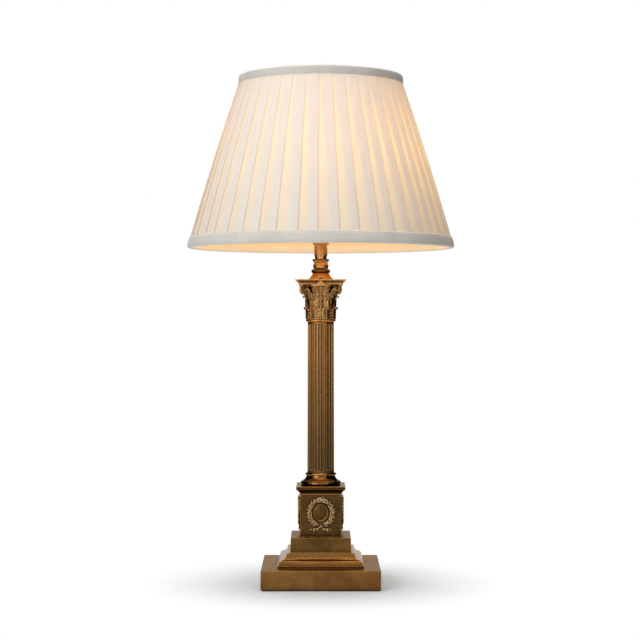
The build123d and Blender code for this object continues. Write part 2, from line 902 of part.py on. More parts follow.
with BuildPart() as neck_tube:
    with BuildSketch(Plane.XZ):
        with BuildLine():
            lip_z = neck_top - neck_lip
            swell_z = rim_top + 5
            Line((rod_hole, rim_top), (neck_foot_radius, rim_top))
            RadiusArc((neck_foot_radius, rim_top), (neck_radius, swell_z), 18)
            Line((neck_radius, swell_z), (neck_radius, lip_z - 1.2))
            RadiusArc((neck_radius, lip_z - 1.2), (neck_lip_radius, lip_z), -1.8)
            Polyline(
                (neck_lip_radius, lip_z),
                (neck_lip_radius, neck_top),
                (rod_hole, neck_top),
                (rod_hole, rim_top),
            )
        make_face()
    revolve(axis=Axis.Z)
save(neck_tube, "neck_tube")

# ============================================== tie rod, and what it pulls up on

with BuildPart() as tie_rod:
    with BuildSketch(Plane.XY.offset(rod_foot)):
        Circle(rod_radius)
        Circle(rod_bore, mode=Mode.SUBTRACT)
    extrude(amount=rod_top - rod_foot)
save(tie_rod, "tie_rod")

roof = base_top - casting_wall
with BuildPart() as rod_washer:
    with BuildSketch(Plane.XY.offset(roof - washer_height)):
        Circle(washer_radius)
        Circle(rod_hole, mode=Mode.SUBTRACT)
    extrude(amount=washer_height)
save(rod_washer, "rod_washer")

tag_top = roof - washer_height
with BuildPart() as earth_tag:
    with BuildSketch(Plane.XY.offset(tag_top - tag_thickness)):
        Circle(tag_radius)
        with Locations((tag_radius + tag_tail / 2 - 1, 0)):
            Rectangle(tag_tail, 5)
        Circle(rod_hole, mode=Mode.SUBTRACT)
        with Locations((tag_radius + tag_tail - 3.5, 0)):
            Circle(1.2, mode=Mode.SUBTRACT)
    extrude(amount=tag_thickness)
save(earth_tag, "earth_tag")

nut_top = tag_top - tag_thickness
with BuildPart() as bottom_nut:
    with BuildSketch(Plane.XY.offset(nut_top - nut_height)):
        RegularPolygon(hex_radius(nut_flats), 6)
        Circle(rod_radius + thread_gap, mode=Mode.SUBTRACT)
    extrude(amount=nut_height)
save(bottom_nut, "bottom_nut")

# ================================================================== lampholder

# Brass cup that screws on the rod; the switch bar passes through it from side to side.
with BuildPart() as holder_cup:
    with BuildSketch(Plane.XZ):
        with BuildLine():
            turn_z = neck_top + cup_turn
            foot_z = neck_top + 2
            inner = cup_radius - cup_wall
            reach = math.sin(math.radians(45))
            rise = 1 - reach
            Line((rod_radius + thread_gap, neck_top), (cup_boss_radius, neck_top))
            Line((cup_boss_radius, neck_top), (cup_boss_radius, foot_z))
            ThreePointArc(
                (cup_boss_radius, foot_z),
                (
                    cup_boss_radius + (cup_radius - cup_boss_radius) * reach,
                    foot_z + (turn_z - foot_z) * rise,
                ),
                (cup_radius, turn_z),
            )
            Polyline((cup_radius, turn_z), (cup_radius, cup_top), (inner, cup_top))
            Line((inner, cup_top), (inner, turn_z))
            inner_foot = foot_z + cup_wall
            ThreePointArc(
                (inner, turn_z),
                (
                    cup_boss_radius + (inner - cup_boss_radius) * reach,
                    inner_foot + (turn_z - inner_foot) * rise,
                ),
                (cup_boss_radius, inner_foot),
            )
            Polyline(
                (cup_boss_radius, inner_foot),
                (cup_boss_radius, neck_top + cup_boss_height),
                (rod_radius + thread_gap, neck_top + cup_boss_height),
                (rod_radius + thread_gap, neck_top),
            )
        make_face()
    revolve(axis=Axis.Z)
    with BuildSketch(Plane.YZ):
        with Locations((0, bar_height)):
            Circle(bar_radius + running)
    extrude(amount=cup_radius + 1, both=True, mode=Mode.SUBTRACT)
save(holder_cup, "holder_cup")

with BuildPart() as switch_block:
    with BuildSketch(Plane.XY.offset(switch_block_foot)):
        Circle(switch_block_radius)
    extrude(amount=switch_block_height)
    with BuildSketch(Plane.YZ):
        with Locations((0, bar_height)):
            Circle(bar_radius + running)
    extrude(amount=switch_block_radius + 1, both=True, mode=Mode.SUBTRACT)
save(switch_block, "switch_block")

# The bar is as long as the cup is wide plus its travel; it rests pushed to the left.
bar_right = cup_radius + button_stand
bar_left = -bar_right - bar_travel
button_socket = button_length * 0.6
with BuildPart() as switch_bar:
    with BuildSketch(Plane.YZ.offset(bar_left - button_socket + slip)):
        with Locations((0, bar_height)):
            Circle(bar_radius)
    extrude(amount=bar_right - bar_left + 2 * (button_socket - slip))
save(switch_bar, "switch_bar")

with BuildPart() as switch_buttons:
    for foot, outward in ((bar_right, 1), (bar_left, -1)):
        with BuildSketch(Plane.YZ.offset(foot)):
            with Locations((0, bar_height)):
                Circle(button_radius)
        extrude(amount=outward * button_length)
    outer_ends = [
        switch_buttons.faces().sort_by(Axis.X)[0],
        switch_buttons.faces().sort_by(Axis.X)[-1],
    ]
    chamfer([end.edge() for end in outer_ends], 1.0)
    for foot, outward in ((bar_right, 1), (bar_left, -1)):
        with BuildSketch(Plane.YZ.offset(foot)):
            with Locations((0, bar_height)):
                Circle(bar_radius + thread_gap)
        extrude(amount=outward * button_socket, mode=Mode.SUBTRACT)
save(switch_buttons, "switch_buttons")

with BuildPart() as contact_block:
    with BuildSketch(Plane.XY.offset(switch_block_top + slip)):
        Circle(switch_block_radius)
    extrude(amount=contact_block_height - slip)
    with BuildSketch(Plane.XY.offset(switch_block_top + slip)):
        with PolarLocations(terminal_pitch / 2, 2, start_angle=90):
            Circle(terminal_radius + slip)
    extrude(amount=terminal_height, mode=Mode.SUBTRACT)
save(contact_block, "contact_block")

with BuildPart() as terminal_screws:
    with BuildSketch(Plane.XY.offset(switch_block_top + slip)):
        with PolarLocations(terminal_pitch / 2, 2, start_angle=90):
            Circle(terminal_radius)
    extrude(amount=terminal_height - slip)
    with BuildSketch(Plane.XY.offset(switch_block_top + slip)):
        with PolarLocations(terminal_pitch / 2, 2, start_angle=90):
            Rectangle(terminal_radius * 2, 0.7)
    extrude(amount=0.7, mode=Mode.SUBTRACT)
save(terminal_screws, "terminal_screws")

# Springy tongue that presses up on the bulb's centre contact.
with BuildPart() as centre_contact:
    with BuildSketch(Plane.XZ):
        with BuildLine():
            flat = -tongue_length * 0.45
            lifted = contact_top + tongue_lift
            Polyline(
                (-tongue_length, contact_top),
                (flat, contact_top),
                (-1.5, lifted),
                (1.5, lifted),
                (1.5, lifted + tongue_thickness),
                (-1.8, lifted + tongue_thickness),
                (flat - 0.3, contact_top + tongue_thickness),
                (-tongue_length, contact_top + tongue_thickness),
                (-tongue_length, contact_top),
            )
        make_face()
    extrude(amount=tongue_width / 2, both=True)
save(centre_contact, "centre_contact")

with BuildPart() as threaded_shell:
    with BuildSketch(Plane.XY.offset(contact_top + slip)):
        Circle(holder_shell_radius + holder_shell_wall)
        Circle(holder_shell_radius, mode=Mode.SUBTRACT)
    extrude(amount=holder_shell_height)
save(threaded_shell, "threaded_shell")

with BuildPart() as insulating_sleeve:
    with BuildSketch(Plane.XY.offset(contact_top + slip)):
        Circle(sleeve_radius)
        Circle(sleeve_radius - sleeve_wall, mode=Mode.SUBTRACT)
    extrude(amount=skirt_top - contact_top - 2 * slip)
    chamfer(insulating_sleeve.faces().sort_by(Axis.Z)[-1].edges(), 0.8)
save(insulating_sleeve, "insulating_sleeve")

# Outer skirt: a spigot inside the cup, a shoulder for the shade, and a straight wall.
spigot_radius = cup_radius - cup_wall - thread_gap
with BuildPart() as holder_skirt:
    with BuildSketch(Plane.XZ):
        Polygon(
            (skirt_radius - skirt_wall, skirt_foot),
            (spigot_radius, skirt_foot),
            (spigot_radius, cup_top + slip),
            (cup_radius, cup_top + slip),
            (cup_radius, shoulder_top - shoulder_height),
            (shoulder_radius, shoulder_top - shoulder_height),
            (shoulder_radius, shoulder_top),
            (skirt_radius, shoulder_top),
            (skirt_radius, skirt_top),
            (skirt_radius - skirt_wall, skirt_top),
            align=None,
        )
    revolve(axis=Axis.Z)
save(holder_skirt, "holder_skirt")

# ======================================================================== bulb

cap_foot_z = bulb_foot + cap_foot
cap_top_z = cap_foot_z + cap_length
globe_z = bulb_top - bulb_radius


def bulb_outline(inset):
    """Half outline of the glass, from its top to the cap, drawn inset by a wall."""
    radius = bulb_radius - inset
    neck = bulb_neck_radius - inset
    low = math.radians(bulb_blend)
    mid = math.radians((90 - bulb_blend) / 2)
    blend = (radius * math.cos(low), globe_z - radius * math.sin(low))
    ThreePointArc(
        (0, globe_z + radius),
        (radius * math.cos(mid), globe_z + radius * math.sin(mid)),
        blend,
    )
    TangentArc(
        blend,
        (neck, cap_top_z + bulb_neck),
        tangent=(-math.sin(low), -math.cos(low)),
    )
    Line((neck, cap_top_z + bulb_neck), (neck, cap_top_z + slip))
    Line((neck, cap_top_z + slip), (0, cap_top_z + slip))
    Line((0, cap_top_z + slip), (0, globe_z + radius))


with BuildPart() as glass_envelope:
    with BuildSketch(Plane.XZ):
        with BuildLine():
            bulb_outline(0)
        make_face()
        with BuildLine():
            bulb_outline(bulb_glass)
        make_face(mode=Mode.SUBTRACT)
    revolve(axis=Axis.Z)
save(glass_envelope, "glass_envelope")

with BuildPart() as bulb_cap:
    with BuildSketch(Plane.XZ):
        Polygon(
            (cap_radius - cap_chamfer, cap_foot_z),
            (cap_radius, cap_foot_z + cap_chamfer),
            (cap_radius, cap_top_z),
            (cap_radius - cap_wall, cap_top_z),
            (cap_radius - cap_wall, cap_foot_z + cap_chamfer),
            (cap_radius - cap_wall - cap_chamfer, cap_foot_z),
            align=None,
        )
    revolve(axis=Axis.Z)
save(bulb_cap, "bulb_cap")

with BuildPart() as bulb_insulator:
    with BuildSketch(Plane.XZ):
        plug = cap_radius - cap_chamfer - cap_wall - slip
        plug_foot = bulb_foot + contact_height
        Polygon(
            (0, plug_foot),
            (contact_radius + 0.4, plug_foot),
            (plug, cap_foot_z),
            (plug, cap_foot_z + 0.2),
            (plug, cap_foot_z + 1.0),
            (0, cap_foot_z + 1.0),
            align=None,
        )
    revolve(axis=Axis.Z)
save(bulb_insulator, "bulb_insulator")

with BuildPart() as bulb_contact:
    with BuildSketch(Plane.XY.offset(bulb_foot)):
        Circle(contact_radius)
    extrude(amount=contact_height - slip)
    chamfer(bulb_contact.faces().sort_by(Axis.Z)[0].edges(), 0.5)
save(bulb_contact, "bulb_contact")

stem_top = cap_top_z + stem_height
with BuildPart() as bulb_stem:
    with BuildSketch(Plane.XZ):
        flare = bulb_neck_radius - bulb_glass - slip
        Polygon(
            (0, cap_top_z + 0.5),
            (flare, cap_top_z + 0.5),
            (flare, cap_top_z + 1.5),
            (stem_radius + 0.6, cap_top_z + bulb_neck),
            (stem_radius, stem_top),
            (0, stem_top),
            align=None,
        )
    revolve(axis=Axis.Z)
save(bulb_stem, "bulb_stem")

with BuildPart() as filament:
    with BuildSketch(Plane.XZ):
        with BuildLine():
            lead_top = stem_top + lead_height
            left = Line((-1.6, stem_top + lead_radius), (-lead_spread, lead_top))
            arch = ThreePointArc(left @ 1, (0, lead_top - 3.5), (lead_spread, lead_top))
            right = Line(arch @ 1, (1.6, stem_top + lead_radius))
            Line(right @ 1, left @ 0)
        trace(line_width=lead_radius * 2)
    extrude(amount=lead_radius, both=True)
save(filament, "filament")

# ======================================================================= shade

shade_top = shade_foot + shade_height


def cone_radius(z):
    """Radius of the pleats' folds at a height; the sides bow out a little."""
    share = (z - shade_foot) / shade_height
    straight = cone_bottom_radius + (cone_top_radius - cone_bottom_radius) * share
    return straight + 4 * shade_bow * share * (1 - share)


cover_foot = shade_foot + 5.6
cover_top = shade_top - top_binding_height - 0.1
cover_middle = (cover_foot + cover_top) / 2
liner_foot = cover_foot
liner_top = shade_top - 4.7


def liner_radius(z):
    """Outside of the stiff liner: under the pleats' deepest step."""
    return cone_radius(z) * (1 - pleat_depth) - cover_cloth - liner_gap


# Knife pleats: at each fold the cloth steps in, then rises to the next fold.
with BuildPart() as pleated_cover:
    for height in (cover_foot, cover_middle, cover_top):
        folds = []
        for fold in range(pleat_count):
            angle = first_fold + 360 * fold / pleat_count
            out = Vector(cone_radius(height), 0).rotate(Axis.Z, angle)
            step = Vector(cone_radius(height) * (1 - pleat_depth), 0)
            folds.append(out)
            folds.append(step.rotate(Axis.Z, angle + 0.4))
        with BuildSketch(Plane.XY.offset(height)):
            with BuildLine():
                Polyline(*folds, close=True)
            make_face()
    loft(ruled=True)
    with BuildSketch(Plane.XZ):
        with BuildLine():
            inside = [
                (liner_radius(height) + liner_gap, height)
                for height in (cover_foot, cover_middle, cover_top)
            ]
            ThreePointArc(*inside)
            Polyline(inside[2], (0, cover_top), (0, cover_foot), inside[0])
        make_face()
    revolve(axis=Axis.Z, mode=Mode.SUBTRACT)
save(pleated_cover, "pleated_cover")

with BuildPart() as shade_liner:
    with BuildSketch(Plane.XZ):
        with BuildLine():
            middle_z = (liner_foot + liner_top) / 2
            outside = [
                (liner_radius(height), height)
                for height in (liner_foot, middle_z, liner_top)
            ]
            inside = [(radius - liner_thickness, height) for radius, height in outside]
            ThreePointArc(*outside)
            Line(outside[2], inside[2])
            ThreePointArc(*reversed(inside))
            Line(inside[0], outside[0])
        make_face()
    revolve(axis=Axis.Z)
save(shade_liner, "shade_liner")

# Bottom binding: a band of cloth folded round the ring wire, flared outside.
band_foot = shade_foot + binding_thickness / 2
hip_z = band_foot + roll_radius + 1.9
hip_radius = cone_radius(hip_z) + binding_flare
bottom_wire_r = hip_radius - roll_radius + 0.6
bottom_wire_z = shade_foot + binding_thickness + bottom_wire_radius + 0.6
carrier_foot = shoulder_top + slip
arm_start = Vector(carrier_ring_radius - 1, 0, carrier_foot + carrier_ring_thickness / 2)
arm_end = Vector(bottom_wire_r, 0, bottom_wire_z)
arm_length = (arm_end - arm_start).length
arm_planes = []
for arm in range(arm_count):
    bearing = 90 + 360 * arm / arm_count
    start = arm_start.rotate(Axis.Z, bearing)
    end = arm_end.rotate(Axis.Z, bearing)
    arm_planes.append(Plane(origin=start, z_dir=end - start))

with BuildPart() as bottom_binding:
    with BuildSketch(Plane.XZ):
        with BuildLine():
            edge_z = shade_foot + bottom_binding_height
            edge = (cone_radius(edge_z) + 0.7, edge_z)
            hem_z = shade_foot + 10.4
            hem = (liner_radius(hem_z) - liner_thickness - binding_thickness, hem_z)
            Polyline(
                edge,
                (hip_radius, hip_z),
                (hip_radius - 0.5, band_foot + 1.5),
                (hip_radius - 2.0, band_foot),
                (hip_radius - 3.6, band_foot + 0.1),
                (hip_radius - 5.2, band_foot + 1.6),
                (hip_radius - 5.7, band_foot + roll_radius + 0.1),
                hem,
            )
        trace(line_width=binding_thickness)
    revolve(axis=Axis.Z)
    for plane in arm_planes:
        with BuildSketch(plane):
            Circle(arm_radius + running)
        extrude(amount=arm_length, mode=Mode.SUBTRACT)
save(bottom_binding, "bottom_binding")

# Top binding: the same cloth folded over the top ring wire.
with BuildPart() as top_binding:
    with BuildSketch(Plane.XZ):
        with BuildLine():
            roll_z = shade_top - 2.6
            crown_z = shade_top - binding_thickness / 2
            hem_z = shade_top - 9.6
            hem = (liner_radius(hem_z) - liner_thickness - binding_thickness, hem_z)
            Polyline(
                (cone_top_radius + 3.3, shade_top - top_binding_height),
                (cone_top_radius + 3.1, roll_z),
                (cone_top_radius + 2.3, crown_z - 0.7),
                (cone_top_radius + 0.9, crown_z),
                (cone_top_radius - 0.4, crown_z),
                (cone_top_radius - 1.8, crown_z - 0.7),
                (cone_top_radius - 2.6, roll_z),
                hem,
            )
        trace(line_width=binding_thickness)
    revolve(axis=Axis.Z)
save(top_binding, "top_binding")

with BuildPart() as top_ring_wire:
    with BuildSketch(Plane.XZ):
        with Locations((cone_top_radius + 0.25, shade_top - 2.8)):
            RegularPolygon(top_wire_radius, 6)
    revolve(axis=Axis.Z)
save(top_ring_wire, "top_ring_wire")

with BuildPart() as bottom_ring_wire:
    with BuildSketch(Plane.XZ):
        with Locations((bottom_wire_r, bottom_wire_z)):
            RegularPolygon(bottom_wire_radius, 8)
    revolve(axis=Axis.Z)
save(bottom_ring_wire, "bottom_ring_wire")

# ------------------------------------------------- the shade's carrier and clamp
with BuildPart() as carrier_ring:
    with BuildSketch(Plane.XY.offset(carrier_foot)):
        Circle(carrier_ring_radius)
        Circle(skirt_radius + running, mode=Mode.SUBTRACT)
    extrude(amount=carrier_ring_thickness)
save(carrier_ring, "carrier_ring")

# Three wire arms run down and out from the carrier ring to the bottom ring wire.
with BuildPart() as carrier_arms:
    for plane in arm_planes:
        with BuildSketch(plane):
            Circle(arm_radius)
        extrude(amount=arm_length)
    with Locations((0, 0, carrier_foot)):
        Cylinder(carrier_ring_radius + slip, 4 * arm_radius, mode=Mode.SUBTRACT)
    with BuildSketch(Plane.XZ):
        with Locations((bottom_wire_r, bottom_wire_z)):
            RegularPolygon(bottom_wire_radius + slip, 8)
    revolve(axis=Axis.Z, mode=Mode.SUBTRACT)
save(carrier_arms, "carrier_arms")

# Threaded ring that holds the carrier ring down on the lampholder's shoulder.
clamp_foot = carrier_foot + carrier_ring_thickness + running
with BuildPart() as clamp_ring:
    with BuildSketch(Plane.XZ):
        Polygon(
            (skirt_radius + running, clamp_foot),
            (clamp_flange_radius, clamp_foot),
            (clamp_flange_radius, clamp_foot + clamp_flange),
            (clamp_ring_radius, clamp_foot + clamp_flange),
            (clamp_ring_radius, clamp_foot + clamp_ring_height - 0.8),
            (clamp_ring_radius - 0.8, clamp_foot + clamp_ring_height),
            (skirt_radius + running, clamp_foot + clamp_ring_height),
            align=None,
        )
    revolve(axis=Axis.Z)
save(clamp_ring, "clamp_ring")
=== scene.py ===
# %% [markdown]
# Dressing a column table lamp
#
# The imported part gives every piece its place and its real size. This script adds what the
# part leaves out: the browned and rubbed metal with shade painted into its hollows and foot,
# the pleated cloth with the light behind it, the finer leaves, and the camera and lights of a
# plain studio. All lengths are in metres.
# The column stands on the origin, +Z is up and the camera looks along +Y.

import json
import math
import random

import bpy
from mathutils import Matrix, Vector

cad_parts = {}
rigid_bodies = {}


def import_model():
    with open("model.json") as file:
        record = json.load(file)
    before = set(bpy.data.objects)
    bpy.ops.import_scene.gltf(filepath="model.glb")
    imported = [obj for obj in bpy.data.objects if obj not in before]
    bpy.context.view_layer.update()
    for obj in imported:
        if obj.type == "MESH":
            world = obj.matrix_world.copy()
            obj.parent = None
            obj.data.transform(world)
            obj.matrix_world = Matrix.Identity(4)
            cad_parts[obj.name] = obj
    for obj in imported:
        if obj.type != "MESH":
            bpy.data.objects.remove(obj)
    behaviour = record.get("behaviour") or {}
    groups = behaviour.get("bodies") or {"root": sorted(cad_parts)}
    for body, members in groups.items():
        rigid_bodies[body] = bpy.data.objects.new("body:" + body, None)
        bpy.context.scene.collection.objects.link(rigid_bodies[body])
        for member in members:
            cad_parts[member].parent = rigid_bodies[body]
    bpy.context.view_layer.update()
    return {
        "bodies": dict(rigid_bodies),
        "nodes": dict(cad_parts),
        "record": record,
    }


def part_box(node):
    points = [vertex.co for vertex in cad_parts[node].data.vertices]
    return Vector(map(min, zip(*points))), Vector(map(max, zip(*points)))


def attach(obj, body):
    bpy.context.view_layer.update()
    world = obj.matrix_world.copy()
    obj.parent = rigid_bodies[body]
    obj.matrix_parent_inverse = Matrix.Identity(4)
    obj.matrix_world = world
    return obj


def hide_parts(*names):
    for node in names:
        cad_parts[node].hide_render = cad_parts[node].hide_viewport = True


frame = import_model()
nodes = frame["nodes"]

# %% [markdown]
# Every new piece of this lamp is a mesh made from lists of points and faces. Blender could
# also start from cubes and cylinders and cut them, but leaves, pleats and flutes are easier
# to work out point by point, and the result is the same each time.


# %% A mesh from points and faces
def mesh_piece(name, points, faces, material, smooth=True):
    """A mesh object in the shared frame, with one material."""
    data = bpy.data.meshes.new(name)
    data.from_pydata(points, [], faces)
    data.materials.append(material)
    for face in data.polygons:
        face.use_smooth = smooth
    data.update()
    piece = bpy.data.objects.new(name, data)
    bpy.context.scene.collection.objects.link(piece)
    return piece


# %% [markdown]
# A material in Blender is a tree of nodes: noises and measures of the surface go in, and one
# shader comes out. Written out in full, each node takes four or five lines. This wrapper makes
# a node and fills its inputs in one: a number is set, and another node's output is linked. The
# world behind the lamp has such a tree too and uses the same wrapper.


# %% A wrapper for shader nodes
class Shader:
    """The node tree of a new material, or of the world that it is given."""

    def __init__(self, name, world=None):
        self.owner = world or bpy.data.materials.new(name)
        self.owner.use_nodes = True
        self.tree = self.owner.node_tree
        self.tree.nodes.clear()

    def node(self, kind, inputs=None, **settings):
        made = self.tree.nodes.new("ShaderNode" + kind)
        for key, value in settings.items():
            setattr(made, key, value)
        for key, value in (inputs or {}).items():
            if isinstance(value, bpy.types.NodeSocket):
                self.tree.links.new(value, made.inputs[key])
            else:
                made.inputs[key].default_value = value
        return made

    def noise(self, vector, scale, detail, roughness, distortion=0.0):
        inputs = {"Vector": vector, "Scale": scale, "Detail": detail, "Roughness": roughness}
        return self.node("TexNoise", {**inputs, "Distortion": distortion}).outputs["Fac"]

    def remap(self, value, low, high, to_low=0.0, to_high=1.0):
        inputs = {"Value": value, "From Min": low, "From Max": high, "To Min": to_low, "To Max": to_high}
        return self.node("MapRange", inputs).outputs["Result"]

    def math(self, kind, a, b):
        return self.node("Math", {0: a, 1: b}, operation=kind).outputs[0]

    def mix(self, factor, a, b):
        """A blend of two colours, each an output or a plain (red, green, blue)."""
        a, b = ((*colour, 1.0) if isinstance(colour, tuple) else colour for colour in (a, b))
        return self.node("Mix", {0: factor, 6: a, 7: b}, data_type="RGBA").outputs[2]

    def bump(self, height, strength, distance):
        inputs = {"Height": height, "Strength": strength, "Distance": distance}
        return self.node("Bump", inputs).outputs["Normal"]

    def principled(self, inputs):
        """Finish the material with Blender's all-round shader."""
        return self.finish(self.node("BsdfPrincipled", inputs).outputs["BSDF"])

    def finish(self, surface, output="OutputMaterial"):
        self.node(output, {"Surface": surface})
        return self.owner


def srgb(red, green, blue):
    """A colour as it is seen, in 0 to 255, as the shader's linear numbers."""
    out = []
    for value in (red, green, blue):
        value = value / 255
        out.append(value / 12.92 if value <= 0.04045 else ((value + 0.055) / 1.055) ** 2.4)
    return tuple(out)


print("pale brass in linear numbers:", [round(value, 3) for value in srgb(232, 176, 110)])

# %% [markdown]
# Antique brass is dark in the hollows and rubbed bright on the edges. The wear could be
# painted by hand, but then it would not follow a changed shape. Here the bevel node finds the
# edges, ambient occlusion finds the hollows, and two noises break both up so that no two
# leaves wear alike. The dark in the hollows is partly the brass's patina and partly painted
# shade.

# %% Antique brass
# painted shade: lower down, the brass is painted darker towards this colour, as less light reaches the foot
FOOT_SHADE_COLOUR = srgb(52, 47, 34)
FOOT_SHADE_FROM, FOOT_SHADE_DOWN_TO = 0.27, 0.15


def antique_brass(
    name, rubbed, worn, dark, roughness=0.34, grain=1.0, edge=0.0012, carved=False, colour_kept_in_foot_shade=1.0, hollow_patina_and_shade=1.0
):
    """Brass in three colours: rubbed on the edges, and worn and dark in clouds on the faces.

    edge is how wide the rubbed edges are, in metres, and carved metal is rubbed on its crests
    too. lowest is the share of its own colour that the metal keeps near the base, where it is
    painted darker as shade. hollows is how far the deep places darken, partly as patina and
    partly as painted shade.
    """
    rubbed, worn, dark = srgb(*rubbed), srgb(*worn), srgb(*dark)
    s = Shader(name)
    place = s.node("TexCoord").outputs["Object"]
    cloud = s.noise(place, 38, 4, 0.6, 0.4)
    speck = s.noise(place, 420, 3, 0.65)
    hollow = s.node("AmbientOcclusion", {"Distance": 0.004 if carved else 0.007}, samples=6)
    open_share = s.remap(hollow.outputs["AO"], 0.3, 0.92)
    near = s.node("Bevel", {"Radius": edge}, samples=4)
    geometry = s.node("NewGeometry")
    normals = {0: near.outputs["Normal"], 1: geometry.outputs["Normal"]}
    turn = s.node("VectorMath", normals, operation="DOT_PRODUCT")
    rim = s.remap(turn.outputs["Value"], 0.995, 0.90)
    if carved:
        rim = s.math("MAXIMUM", rim, s.remap(geometry.outputs["Pointiness"], 0.51, 0.56))
    wear = s.math("MULTIPLY", rim, s.remap(cloud, 0.3, 0.6, 0.5, 1.0))
    body = s.mix(s.remap(cloud, 0.35, 0.65), worn, dark)
    # the hollows are painted darker, partly as the brass's patina and partly as painted shade
    patina_and_shade_share = s.remap(open_share, 0.0, 1.0, hollow_patina_and_shade, 0.0)
    body = s.mix(patina_and_shade_share, body, tuple(0.3 * c for c in dark))
    colour = s.mix(wear, body, rubbed)
    # the colour is painted darker towards the foot, as shade
    if colour_kept_in_foot_shade < 1.0:
        height = s.node("SeparateXYZ", {0: place}).outputs["Z"]
        foot_shade = s.remap(height, FOOT_SHADE_FROM, FOOT_SHADE_DOWN_TO)
        colour = s.mix(s.math("MULTIPLY", foot_shade, 1.0 - colour_kept_in_foot_shade), colour, FOOT_SHADE_COLOUR)
    rough = s.remap(speck, 0.3, 0.7, roughness - 0.04, roughness + 0.06)
    fine = s.math("ADD", s.math("MULTIPLY", speck, 0.5), cloud)
    return s.principled({
        "Base Color": colour,
        "Metallic": 1.0,
        "Specular Tint": (0.85, 0.74, 0.62, 1),
        "Roughness": s.math("SUBTRACT", rough, s.math("MULTIPLY", wear, 0.08)),
        "Normal": s.bump(fine, 0.05 * grain, 0.0006),
    })


print("darkened brass near the base:", [round(value, 3) for value in FOOT_SHADE_COLOUR])

# %% The brasses of this lamp
# each one: its name, its rubbed, worn and dark colours, and what sets it apart
brass = antique_brass("antique_brass", (206, 150, 84), (124, 88, 48), (88, 60, 30))
leafy = antique_brass(
    "leafy_brass", (234, 184, 116), (130, 92, 53), (84, 57, 31),
    grain=0.4, carved=True, hollow_patina_and_shade=0.75,
)
champagne = antique_brass("wreath_brass", (222, 188, 136), (134, 104, 64), (82, 60, 34), carved=True)
gilt = antique_brass("bright_brass", (232, 174, 98), (192, 132, 66), (150, 96, 46), roughness=0.28)
# the shaft is painted darker towards its foot, as shade
mid = antique_brass(
    "shaft_brass", (226, 170, 104), (142, 99, 53), (100, 70, 38),
    roughness=0.32, grain=0.5, carved=True, colour_kept_in_foot_shade=0.4,
)
# the slab's edges are darker than its faces, so its first colour is darker than the other two
slab_brass = antique_brass(
    "slab_brass", (84, 58, 32), (134, 95, 51), (110, 75, 39),
    roughness=0.4, edge=0.0016,
)
block = antique_brass("block_brass", (196, 146, 84), (110, 78, 39), (82, 58, 28), roughness=0.36)
olive = antique_brass("olive_brass", (196, 146, 84), (96, 69, 35), (66, 47, 23), roughness=0.4)
browned = antique_brass(
    "browned_brass", (150, 104, 56), (78, 52, 25), (60, 40, 19),
    roughness=0.3, grain=0.5, hollow_patina_and_shade=0.3,
)
roll = antique_brass(
    "roll_brass", (190, 136, 78), (118, 82, 41), (98, 67, 33),
    roughness=0.16, grain=0.2, hollow_patina_and_shade=0.25,
)
turned = antique_brass(
    "turned_brass", (196, 142, 82), (130, 89, 45), (106, 71, 34),
    roughness=0.18, grain=0.2, hollow_patina_and_shade=0.4,
)
# painted light: a brighter, warmer brass for the neck and collar, as if lit by the bulb above them
bulb_lit = antique_brass(
    "bulb_lit_brass", (232, 176, 110), (204, 150, 92), (174, 124, 74),
    roughness=0.24, grain=0.3, hollow_patina_and_shade=0.2,
)
print("brasses:", len(bpy.data.materials))

# %% [markdown]
# Inside the lamp are plated and blackened steel, moulded insulators and felt. They show little
# wear, so one fine noise that varies the colour, the gloss and the surface is enough.


# %% Plain metals, mouldings and felt
def plain_metal(name, colour, roughness):
    s = Shader(name)
    cloud = s.noise(s.node("TexCoord").outputs["Object"], 160, 3, 0.6)
    return s.principled({
        "Base Color": s.mix(s.remap(cloud, 0.3, 0.7), colour, tuple(0.75 * c for c in colour)),
        "Metallic": 1.0,
        "Roughness": s.remap(cloud, 0.3, 0.7, roughness - 0.05, roughness + 0.07),
        "Normal": s.bump(cloud, 0.1, 0.0004),
    })


def moulding(name, colour, roughness):
    s = Shader(name)
    grain = s.noise(s.node("TexCoord").outputs["Object"], 900, 2, 0.5)
    return s.principled({
        "Base Color": s.mix(s.remap(grain, 0.3, 0.7), colour, tuple(0.85 * c for c in colour)),
        "Roughness": roughness,
        "Normal": s.bump(grain, 0.12, 0.0003),
    })


steel = plain_metal("plated_steel", srgb(196, 196, 192), 0.38)
blacked = plain_metal("black_steel", srgb(62, 62, 62), 0.6)
nickel = plain_metal("nickel", srgb(214, 210, 202), 0.25)
black = moulding("black_moulding", srgb(26, 25, 26), 0.42)
white = moulding("white_moulding", srgb(232, 228, 218), 0.3)
wire = moulding("white_wire", srgb(238, 235, 226), 0.4)
felt = moulding("felt", srgb(58, 66, 54), 0.95)
print("metals and mouldings:", len(bpy.data.materials))

# %% [markdown]
# Most pieces of the part are shown as they are and only need a finish. Each takes the one its
# slot names. The castings that show are then finished one by one, because a turned ring is
# polished, a flat block is cloudy, and carving is dark in its hollows with patina and painted
# shade. The neck and the collar take a brighter, warmer brass, painted as lit by the bulb.

